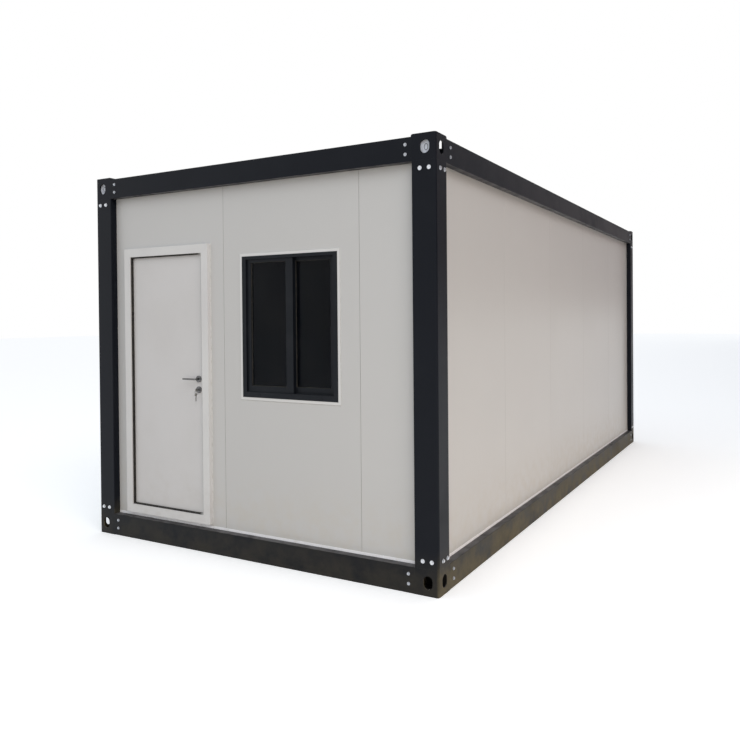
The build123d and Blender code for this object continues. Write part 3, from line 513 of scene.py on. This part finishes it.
board_finish = white_boards()
coat(board_finish, "ceiling", "inner_corner_trims")
rivets = bmesh.new()
for low, high in solids("inner_corner_trims"):
    side, end = math.copysign(1, low.x), math.copysign(1, low.y)
    x = max(abs(low.x), abs(high.x))
    y = max(abs(low.y), abs(high.y))
    for i in range(int((high.z - low.z) / RIVET_PITCH)):
        z = low.z + (i + 0.5) * RIVET_PITCH
        rivet(rivets, (side * (x - RIVET_FROM_CORNER), end * (y - TRIM_GAUGE), z), (0, -end, 0))
        rivet(rivets, (side * (x - TRIM_GAUGE), end * (y - RIVET_FROM_CORNER), z), (-side, 0, 0))
add_piece("trim_rivets", rivets, board_finish)

# The roof above the ceiling: one ribbed steel sheet, pressed with 24 ribs, that rests on the roof beams
# and the purlins. Screws with washers hold it through its flats, and dust and rain marks lie on it.
ROOF_GREY = (0.420, 0.430, 0.440, 1)
ROOF_WEATHERED = (0.330, 0.330, 0.320, 1)
ROOF_SOIL = (0.200, 0.185, 0.150, 1)
SOIL_DEPTH = 0.006
SHEET_GAUGE = 0.001
ROOF_RIBS = 24
END_RIB_IN = 0.038
RIB_FOOT = 0.052
SCREW_FROM_EDGE = 0.020
SCREWS_ACROSS = 5
SCREW_WASHER = (0.0095, 0.0060)
SCREW_HEX = (0.0048, 0.0040)


def roof_coat(flats):
    """Weathered coil coating: streaks across the sheet, and soil in the flats beside the ribs."""
    sheet = Finish("roof_coat")
    weather = sheet.ease(sheet.cloud(0.35, 5, sheet.stretched(0.5, 1, 1)), 0.35, 0.75)
    flat = sheet.ease(sheet.z, flats + SOIL_DEPTH, flats)
    soil = flat * sheet.ease(sheet.cloud(0.12, 5, rough=0.65), 0.42, 0.80)
    colour = sheet.mix(weather, ROOF_GREY, ROOF_WEATHERED)
    return sheet.shade(
        Base_Color=sheet.mix(soil * 0.75, colour, ROOF_SOIL),
        Roughness=0.38 + weather * 0.10 + soil * 0.25,
        Normal=sheet.bump(sheet.cloud(0.30, 3) * 6 + soil, 0.00015),
    )


def roof_screw(bm, x, y, z):
    """A small hexagon head on a domed washer."""
    place = facing((x, y, z), (0, 0, 1), random.uniform(0, math.tau))
    washer, dome = SCREW_WASHER
    across, top = SCREW_HEX
    turned(bm, place, [(washer, -0.0005), (washer, 0.0006), (dome, 0.0020)], 16)
    turned(bm, place, [(across, 0.0015), (across, 0.0055), (top, 0.0062)], 6)


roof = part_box("roof_sheet")
coat(roof_coat(roof[0].z), "roof_sheet")
first_rib = roof[0].y + END_RIB_IN
rib_pitch = -2 * first_rib / (ROOF_RIBS - 1)
screws = bmesh.new()
flat_top = roof[0].z + SHEET_GAUGE
for i in range(ROOF_RIBS - 1):
    for side in (-1, 1):
        y = first_rib + (i + 0.5) * rib_pitch
        roof_screw(screws, side * (roof[1].x - SCREW_FROM_EDGE), y, flat_top)
for low, high in solids("roof_purlins"):
    y = (low.y + high.y) / 2
    past_rib = (y - first_rib) % rib_pitch
    if RIB_FOOT / 2 + SCREW_WASHER[0] < past_rib < rib_pitch - RIB_FOOT / 2 - SCREW_WASHER[0]:
        for i in range(SCREWS_ACROSS):
            roof_screw(screws, high.x * 0.8 * (2 * i / (SCREWS_ACROSS - 1) - 1), y, flat_top)
add_piece("roof_screws", screws, dull_zinc)

# The doorway: a frame of folded steel with mitred corners, painted pale grey over a primer. A soft
# black gasket lines its stop, and a bead of pale sealant closes the joint with the wall panels.
FRAME_PALE = (0.690, 0.690, 0.690, 1)
FRAME_SOILED = (0.560, 0.530, 0.500, 1)
LEAF_PALE = (0.640, 0.630, 0.635, 1)
LEAF_TONED = (0.610, 0.598, 0.598, 1)
RUBBER_BLACK = (0.014, 0.013, 0.012, 1)
RUBBER_DUSTY = (0.070, 0.062, 0.050, 1)
RUBBER_PAINTED_PALE = (0.400, 0.400, 0.390, 1)
PAINTED_PALE_IN = (0.045, 0.012)
SEALANT_PALE = (0.600, 0.600, 0.595, 1)
SEALANT_SOILED = (0.480, 0.470, 0.450, 1)
DOOR_BEAD = 0.0050
WINDOW_BEAD = 0.0030
HAND_REACH = (0.26, 0.05)


def door_paint(name, pale, toned, hand_height=None):
    """Sprayed satin paint, faintly uneven, with grime at the foot and where hands touch it."""
    paint = Finish(name)
    haze = paint.ease(paint.cloud(0.5, 4), 0.30, 0.75)
    grime = paint.ease(paint.z, 0.75, 0.20) * paint.ease(paint.cloud(0.07, 5), 0.35, 0.80)
    if hand_height:
        reach = paint.node("VectorMath", {"operation": "DISTANCE"}, {0: paint.place, 1: hand_height})
        touched = paint.ease(reach, *HAND_REACH) * paint.ease(paint.cloud(0.03, 4), 0.40, 0.75)
        grime = grime + touched * 0.3
    peel = paint.cloud(0.0032, 2) * 0.4 + paint.cloud(0.45, 2) * 5
    return paint.shade(
        Base_Color=paint.mix(grime * 0.35, paint.mix(haze, pale, toned), FRAME_SOILED),
        Roughness=0.33 + haze * 0.07 + grime * 0.2,
        Normal=paint.bump(peel, 0.00010, paint.rounded(0.0016)),
    )


def rubber(name, black, dusty, painted_pale=None):
    """Dull black rubber, greyed by dust in patches, and painted pale beyond a line across the wall, a
    painted highlight that hides its dark line at the lock side.
    """
    strip = Finish(name)
    dust = strip.ease(strip.cloud(0.02, 4), 0.40, 0.80)
    colour = strip.mix(dust * 0.7, black, dusty)
    if painted_pale:
        colour = strip.mix(strip.ease(strip.x, *painted_pale), colour, RUBBER_PAINTED_PALE)
    return strip.shade(
        Base_Color=colour,
        Roughness=0.62 + dust * 0.2,
        Normal=strip.bump(strip.cloud(0.0010, 2), 0.00005, strip.rounded(0.0010)),
        Specular_IOR_Level=0.25,
    )


def sealant():
    """Silicone that was smoothed with a finger: soft, slightly uneven, and dirty in places."""
    bead = Finish("sealant")
    dirt = bead.ease(bead.cloud(0.04, 4), 0.40, 0.80)
    return bead.shade(
        Base_Color=bead.mix(dirt, SEALANT_PALE, SEALANT_SOILED),
        Roughness=0.40 + dirt * 0.2,
        Normal=bead.bump(bead.cloud(0.030, 2), 0.0002),
    )


def mitred(bm, low, high, y, profile):
    """A moulding round a rectangle in the wall. The profile's points are (outwards, into the wall)."""
    rows = []
    for out, deep in profile:
        x0, z0, x1, z1 = low[0] - out, low[1] - out, high[0] + out, high[1] + out
        corners = ((x0, z0), (x1, z0), (x1, z1), (x0, z1))
        rows.append([bm.verts.new((x, y + deep, z)) for x, z in corners])
    skin(bm, rows, capped=False)


def outline(*names):
    """The lowest and highest corner, across and up, of one or more CAD nodes in a wall."""
    boxes = [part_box(name) for name in names]
    low = min(b[0].x for b in boxes), min(b[0].z for b in boxes)
    return low, (max(b[1].x for b in boxes), max(b[1].z for b in boxes))


def bead_profile(size):
    """A hollow fillet between a frame's edge and the wall face behind it."""
    corner = [(-0.0005, 0.0008), (size, 0.0008), (size, 0)]
    return corner + [(size * 0.45, -size * 0.45), (0, -size), (-0.0005, -size)]


members = ("door_jamb_hinge_side", "door_jamb_lock_side", "door_head", "door_threshold")
lever_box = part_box("door_lever")
coat(door_paint("door_frame_paint", FRAME_PALE, LEAF_PALE), *members)
hand_height = lever_box[0].lerp(lever_box[1], 0.5)
coat(door_paint("door_leaf_paint", LEAF_PALE, LEAF_TONED, hand_height), "door_leaf")
# The gasket is painted pale near its lock-side end, a painted highlight.
gasket_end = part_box("door_gasket")[1].x
painted_pale = [gasket_end - inward for inward in PAINTED_PALE_IN]
coat(rubber("door_rubber", RUBBER_BLACK, RUBBER_DUSTY, painted_pale), "door_gasket")
seal_rubber = rubber("window_rubber", RUBBER_BLACK, RUBBER_DUSTY)
wall_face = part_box("front_wall_end_panel")[0].y
beads = bmesh.new()
door_edge = outline("door_jamb_hinge_side", "door_jamb_lock_side", "door_head")
mitred(beads, *door_edge, wall_face, bead_profile(DOOR_BEAD))
mitred(beads, *outline("window_trims"), wall_face, bead_profile(WINDOW_BEAD))
add_piece("outer_sealant", beads, sealant(), smooth=50)

# Plated butt hinges in the rebate, each half held by countersunk cross-head screws, and the strike plate
# opposite the lock. They only show when the door is open.
HINGE_STEEL = (0.55, 0.55, 0.54, 1)
HINGE_DULL = (0.40, 0.39, 0.37, 1)
SCREW_HEAD = 0.0042
SCREW_TOP = 0.0006
HINGE_PLATE = 0.003
HINGE_SCREWS_UP = (-0.034, 0, 0.034)
LEAF_SCREWS_IN = 0.014
JAMB_SCREWS_IN = 0.008
STRIKE_SCREWS_IN = 0.014


def satin_steel(name, bright, dull, along, roughness):
    """Brushed steel: fine lines along one axis, and faint finger marks."""
    metal = Finish(name)
    lines = metal.cloud(0.0009, 2, metal.stretched(*along))
    marks = metal.ease(metal.cloud(0.025, 3), 0.45, 0.75)
    return metal.shade(
        Base_Color=metal.mix(lines * 0.5 + marks * 0.3, bright, dull),
        Metallic=1.0,
        Roughness=roughness + lines * 0.10 + marks * 0.10,
        Normal=metal.bump(lines, 0.00003, metal.rounded(0.0008)),
    )


def cross_screw(bm, spot, direction, radius):
    """A flat screw head with a cross-shaped recess between four raised quarters."""
    place = facing(spot, direction, random.uniform(0, math.tau))
    turned(bm, place, [(radius, -0.0004), (radius, 0.0001), (radius * 0.92, 0.0003)], 20)
    quarter = [(0.14, 0.14), (0.80, 0.14), (0.62, 0.62), (0.14, 0.80)]
    for i in range(4):
        turn = place @ Matrix.Rotation(math.tau * i / 4, 4, "Z")
        spots = [[Vector((u * radius, v * radius, z)) for u, v in quarter] for z in (0.0002, SCREW_TOP)]
        skin(bm, [[bm.verts.new(turn @ spot) for spot in row] for row in spots])


hinge_finish = satin_steel("hinge_steel", HINGE_STEEL, HINGE_DULL, (1, 1, 0.03), 0.30)
coat(hinge_finish, "hinge_jamb_halves", "hinge_leaf_halves", "strike_plate")
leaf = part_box("door_leaf")
leaf_screws, jamb_screws = bmesh.new(), bmesh.new()
for low, high in solids("hinge_leaf_halves"):
    for up in HINGE_SCREWS_UP:
        spot = (high.x - LEAF_SCREWS_IN, leaf[1].y + HINGE_PLATE, (low.z + high.z) / 2 + up)
        cross_screw(leaf_screws, spot, (0, 1, 0), SCREW_HEAD)
for low, high in solids("hinge_jamb_halves"):
    for up in HINGE_SCREWS_UP:
        spot = (low.x + HINGE_PLATE, high.y - JAMB_SCREWS_IN, (low.z + high.z) / 2 + up)
        cross_screw(jamb_screws, spot, (1, 0, 0), SCREW_HEAD)
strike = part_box("strike_plate")
for z in (strike[0].z + STRIKE_SCREWS_IN, strike[1].z - STRIKE_SCREWS_IN):
    cross_screw(jamb_screws, (strike[0].x, (strike[0].y + strike[1].y) / 2, z), (-1, 0, 0), SCREW_HEAD)
add_piece("hinge_leaf_screws", leaf_screws, hinge_finish, "door")
add_piece("hinge_jamb_screws", jamb_screws, hinge_finish)

# The lock's satin stainless roses, levers and forend, with the dark slot of the cylinder's key way on
# the room side, drawn as a thin black block of painted shade. A nickel-plated key is in the lock outside,
# and a second one hangs from its ring.
STAINLESS = (0.190, 0.190, 0.190, 1)
STAINLESS_DULL = (0.090, 0.090, 0.092, 1)
NICKEL = (0.420, 0.410, 0.380, 1)
NICKEL_DULL = (0.240, 0.230, 0.210, 1)
LATCH_HEIGHT = 1.249
BOLT_HEIGHT = 1.170
LATCH_FACE = (0.009, 0.006)
BOLT_FACE = (0.014, 0.006)
FACE_PROUD = (0.0012, 0.0006)
FOREND_SCREWS_IN = 0.012
KEY_WAY = (0.0011, 0.0042, 0.0003, 0.0001)
LOCK_IN = 0.063


def studded(bm, place, half_across, half_up, proud, ease):
    """A low block on a face, with eased front edges."""
    rows = []
    for shrink, height in ((0, -0.0005), (0, proud - ease), (ease, proud)):
        across, up = half_across - shrink, half_up - shrink
        corners = ((-across, -up), (across, -up), (across, up), (-across, up))
        rows.append([bm.verts.new(place @ Vector((u, v, height))) for u, v in corners])
    skin(bm, rows)


handle_finish = satin_steel("handle_steel", STAINLESS, STAINLESS_DULL, (0.04, 1, 1), 0.30)
coat(handle_finish, "lock_furniture", "door_lever")
coat(satin_steel("key_nickel", NICKEL, NICKEL_DULL, (1, 1, 0.2), 0.29), "door_keys")
middle_y = (leaf[0].y + leaf[1].y) / 2
bolt_faces = bmesh.new()
for z, face in ((LATCH_HEIGHT, LATCH_FACE), (BOLT_HEIGHT, BOLT_FACE)):
    studded(bolt_faces, facing((leaf[1].x, middle_y, z), (1, 0, 0)), *face, *FACE_PROUD)
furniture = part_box("lock_furniture")
for z in (furniture[0].z + FOREND_SCREWS_IN, furniture[1].z - FOREND_SCREWS_IN):
    cross_screw(bolt_faces, (leaf[1].x, middle_y, z), (1, 0, 0), SCREW_HEAD)
add_piece("lock_bolt_faces", bolt_faces, handle_finish, "door")
key_way = bmesh.new()
key_spot = (leaf[1].x - LOCK_IN, furniture[1].y, BOLT_HEIGHT)
studded(key_way, facing(key_spot, (0, 1, 0)), *KEY_WAY)
# Black of painted shade: the key way's slot here, and the hairline joints between the window's profiles
# below.
shadow_black = rubber("shadow_black", RUBBER_BLACK, RUBBER_BLACK)
add_piece("key_way", key_way, shadow_black, "door")

# The window: aluminium profiles with a fine dark grey powder coat, two sliding sashes on two tracks.
# Black glazing gaskets hold each pane on both faces, hooded caps cover the sill's drain slots, a brush
# seals the gap where the sashes pass, and a crescent latch on the room side locks them.
POWDER_GREY = (0.0062, 0.0080, 0.0115, 1)
POWDER_DUSTY = (0.0210, 0.0225, 0.0260, 1)
GLASS_GROOVE = 0.009
GLAZING_LIP = ((0.0005, 0.0005), (-0.0045, 0.0005), (-0.0035, -0.0030), (0.0005, -0.0055))
GLASS_PAINTED_DARK = (0.0030, 0.0042, 0.0075, 1)
GLASS_DUST = (0.45, 0.45, 0.43, 1)
JOINT_LINE = 0.0004
JOINT_PROUD = (0.0001, 0.00005)
DRAIN_CAP = (0.017, 0.0050, 0.0030, 0.0012)
DRAIN_CAPS_IN = 0.14
BRUSH_IN = 0.008
BRUSH_HALF = 0.003
BRUSH_TIP = 0.001
LATCH_PLATE = (0.010, 0.030, 0.0040, 0.0010)
LATCH_HUB = [(0.009, 0.003), (0.009, 0.011), (0.0075, 0.0125)]
LATCH_ARM = (0.0055, 0.019, 0.0060, 0.0015)
LATCH_ARM_AT = (0, 0.018, 0.006)


def powder_coat():
    """Matt powder coat with a fine grain, pale dust on its ledges and polished edges."""
    powder = Finish("window_powder_coat")
    up = powder.node("NewGeometry", {}, {}, "Normal")
    ledge = powder.ease(powder.node("SeparateXYZ", {}, {0: up}, 2), 0.55, 0.95)
    dust = ledge * powder.ease(powder.cloud(0.02, 5), 0.25, 0.70)
    haze = powder.ease(powder.cloud(0.12, 4), 0.35, 0.75)
    return powder.shade(
        Base_Color=powder.mix(dust * 0.8 + haze * 0.3, POWDER_GREY, POWDER_DUSTY),
        Roughness=0.40 + haze * 0.08 + dust * 0.25,
        Normal=powder.bump(powder.cloud(0.0011, 2), 0.00005, powder.rounded(0.0014)),
        Specular_IOR_Level=0.16,
    )


def window_glass():
    """Float glass, coloured near black and about half opaque as painted shade for the unlit room, with a
    film of dust and a few dried drops.
    """
    pane = Finish("window_glass")
    gloss = pane.node("Fresnel", {}, {"IOR": 1.45})
    film = pane.ease(pane.cloud(0.18, 5, rough=0.6), 0.40, 0.85)
    drops = pane.ease(pane.cloud(0.006, 1), 0.74, 0.80) * film
    return pane.shade(
        Base_Color=pane.mix(film * 0.03 + drops * 0.08, GLASS_PAINTED_DARK, GLASS_DUST),
        Roughness=0.02 + film * 0.03,
        Alpha=0.45 + gloss * 0.50,
        Specular_IOR_Level=0.14,
    )


powder = powder_coat()
coat(powder, "window_frame", "window_sashes")
coat(window_glass(), "window_glass")
coat(door_paint("window_trim_paint", FRAME_PALE, FRAME_PALE), "window_trims")
glazing, joint_lines = bmesh.new(), bmesh.new()
panes, sashes = solids("window_glass"), solids("window_sashes")
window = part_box("window_frame")
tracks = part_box("window_sashes")
for pane, sash in zip(panes, sashes):
    left, right = pane[0].x + GLASS_GROOVE, pane[1].x - GLASS_GROOVE
    foot, head = pane[0].z + GLASS_GROOVE, pane[1].z - GLASS_GROOVE
    mitred(glazing, (left, foot), (right, head), pane[0].y, GLAZING_LIP)
    mitred(glazing, (left, foot), (right, head), pane[1].y, [(out, -deep) for out, deep in GLAZING_LIP])
    for x in (left, right):
        for z0, z1 in ((sash[0].z, foot), (head, sash[1].z)):
            joint = facing((x, sash[0].y, (z0 + z1) / 2), (0, -1, 0))
            studded(joint_lines, joint, JOINT_LINE, (z1 - z0) / 2, *JOINT_PROUD)
for x in (tracks[0].x, tracks[1].x):
    for z0, z1 in ((window[0].z, tracks[0].z), (tracks[1].z, window[1].z)):
        joint = facing((x, window[0].y, (z0 + z1) / 2), (0, -1, 0))
        studded(joint_lines, joint, JOINT_LINE, (z1 - z0) / 2, *JOINT_PROUD)
add_piece("glazing_gaskets", glazing, seal_rubber)
add_piece("window_joint_lines", joint_lines, shadow_black)
outer_sash, inner_sash = sashes
brush = bmesh.new()
gap = inner_sash[0].y - outer_sash[1].y
half_tall = (outer_sash[1].z - outer_sash[0].z) / 2
brush_spot = (outer_sash[1].x - BRUSH_IN, outer_sash[1].y, outer_sash[0].z + half_tall)
studded(brush, facing(brush_spot, (0, 1, 0)), BRUSH_HALF, half_tall, gap, BRUSH_TIP)
add_piece("sash_brush", brush, seal_rubber)
fittings = bmesh.new()
for x in (window[0].x + DRAIN_CAPS_IN, window[1].x - DRAIN_CAPS_IN):
    spot = (x, window[0].y, (window[0].z + tracks[0].z) / 2)
    studded(fittings, facing(spot, (0, -1, 0)), *DRAIN_CAP)
stile_middle = (inner_sash[0].x + panes[1][0].x + GLASS_GROOVE) / 2
latch = facing((stile_middle, inner_sash[1].y, inner_sash[0].z + half_tall), (0, 1, 0))
studded(fittings, latch, *LATCH_PLATE)
turned(fittings, latch, LATCH_HUB, 20)
studded(fittings, latch @ Matrix.Translation(LATCH_ARM_AT), *LATCH_ARM)
add_piece("window_fittings", fittings, powder)

# Ground and light: a plain white floor that keeps the cabin's shadow, and a sky that looks white and lights
# the cabin warmly from the right and coolly from elsewhere. A wide soft lamp hangs high in front on the
# right. Two low warm ones stand for light off the ground, and a rose grey card tints the long wall's top.
WHITE = (1, 1, 1, 1)
BLACK = (0, 0, 0, 1)
FLOOR_HALF = 60.0
SKY_COOL = (0.84, 0.92, 1.0, 1)
SKY_WARM = (1.0, 0.84, 0.70, 1)
SKY_LEVEL = 0.78
FLOOR_BOUNCE = (0.62, 0.58, 0.52, 1)
FLOOR_LIFT = (0.27, 0.27, 0.27, 1)
CARD_LOW = (8.0, -4.0, 1.9)
CARD_HIGH = (8.0, 44.0, 9.0)
CARD_ROSE = (0.48, 0.35, 0.34, 1)
CARD_SHADE = (0.20, 0.20, 0.20, 1)
LAMP_WHITE = (1.0, 1.0, 1.0)
LAMP_WARM = (1.0, 0.86, 0.70)
HIGH_LAMP = ((9.0, -9.0, 11.0), (0.0, 0.0, 1.0), 8.0, 8.0, 700.0, LAMP_WHITE)
FRONT_LOW_LAMP = ((1.8, -6.2, 0.15), (0.9, -2.9, 0.5), 4.0, 0.8, 20.0, LAMP_WARM)
SIDE_LOW_LAMP = ((4.6, -1.0, 0.15), (1.5, -1.0, 0.5), 7.0, 0.8, 42.0, LAMP_WARM)


def backdrop_ray(tree):
    """1 for rays that see the backdrop: from the camera, in a reflection or through glass."""
    seen = node(tree, "LightPath", {}, {}, "Is Camera Ray")
    for kind in ("Is Glossy Ray", "Is Transmission Ray"):
        seen = seen.sum("MAXIMUM", seen, node(tree, "LightPath", {}, {}, kind))
    return seen


def stage_sheet(name, bm, material):
    """A flat piece of the studio, which isn't part of the cabin."""
    mesh = bpy.data.meshes.new(name)
    bm.to_mesh(mesh)
    bm.free()
    mesh.materials.append(material)
    sheet = bpy.data.objects.new(name, mesh)
    bpy.context.scene.collection.objects.link(sheet)
    return sheet


def soft_lamp(name, spot, aim, across, up, watts, colour):
    """A large lamp that faces a point and isn't itself seen or reflected."""
    data = bpy.data.lights.new(name, "AREA")
    data.shape = "RECTANGLE"
    data.size, data.size_y = across, up
    data.energy = watts
    data.color = colour
    lamp = bpy.data.objects.new(name, data)
    lamp.matrix_world = facing(spot, Vector(spot) - Vector(aim))
    lamp.visible_camera = False
    lamp.visible_glossy = False
    bpy.context.scene.collection.objects.link(lamp)


world = bpy.data.worlds.new("white_studio")
world.use_nodes = True
heavens = world.node_tree
heavens.nodes.clear()
seen = backdrop_ray(heavens)
heading = node(heavens, "TexCoord", {}, {}, "Generated")
rightward = node(heavens, "SeparateXYZ", {}, {0: heading})
warm_side = rightward.sum("SMOOTH_MAX", rightward, 0.0, 0.2)
sky = node(heavens, "Mix", {"data_type": "RGBA"}, {"Factor": warm_side, "A": SKY_COOL, "B": SKY_WARM})
sky = node(heavens, "Mix", {"data_type": "RGBA"}, {"Factor": seen, "A": sky, "B": WHITE})
strength = seen * (1 - SKY_LEVEL) + SKY_LEVEL
background = node(heavens, "Background", {}, {"Color": sky, "Strength": strength})
node(heavens, "OutputWorld", {}, {"Surface": background})
bpy.context.scene.world = world

ground = Finish("white_floor")
seen = backdrop_ray(ground.tree)
ground.shade(
    Base_Color=ground.mix(seen, FLOOR_BOUNCE, WHITE),
    Roughness=0.9,
    Specular_IOR_Level=0.0,
    Emission_Color=ground.mix(seen, BLACK, FLOOR_LIFT),
    Emission_Strength=1.0,
)
plane = bmesh.new()
bmesh.ops.create_grid(plane, x_segments=8, y_segments=8, size=FLOOR_HALF)
stage_sheet("studio_floor", plane, ground.material)

card_paint = Finish("rose_card")
card_tone = card_paint.cloud(2.0, 2) * 0.2
card_paint.shade(Base_Color=card_paint.mix(card_tone, CARD_ROSE, CARD_SHADE), Roughness=0.9)
(x, y0, z0), (_, y1, z1) = CARD_LOW, CARD_HIGH
card_mesh = bmesh.new()
corners = ((x, y0, z0), (x, y1, z0), (x, y1, z1), (x, y0, z1))
card_mesh.faces.new([card_mesh.verts.new(corner) for corner in corners])
card = stage_sheet("rose_card", card_mesh, card_paint.material)
card.visible_camera = False

soft_lamp("high_lamp", *HIGH_LAMP)
soft_lamp("front_low_lamp", *FRONT_LOW_LAMP)
soft_lamp("side_low_lamp", *SIDE_LOW_LAMP)

# The camera: a phone held at 1.7 m, off the corner on the window's side. The photograph was trimmed
# unevenly, so the lens is shifted a little.
CAMERA_SPOT = (3.3713, -6.7857, 1.6927)
CAMERA_TURN = [math.radians(a) for a in (27.935, -0.607, -0.458)]
CAMERA_SENSOR = 36.0
CAMERA_LENS = 34.575
CAMERA_SHIFT = (-0.0607, -0.0597)

camera_data = bpy.data.cameras.new("camera")
camera_data.sensor_width = CAMERA_SENSOR
camera_data.lens = CAMERA_LENS
camera_data.shift_x, camera_data.shift_y = CAMERA_SHIFT
camera = bpy.data.objects.new("camera", camera_data)
bpy.context.scene.collection.objects.link(camera)
yaw, pitch, roll = CAMERA_TURN
turn = Matrix.Rotation(yaw, 4, "Z") @ Matrix.Rotation(math.pi / 2 + pitch, 4, "X")
turn = turn @ Matrix.Rotation(roll, 4, "Z")
camera.matrix_world = Matrix.Translation(CAMERA_SPOT) @ turn
bpy.context.scene.camera = camera
bpy.context.scene.view_settings.view_transform = "Standard"
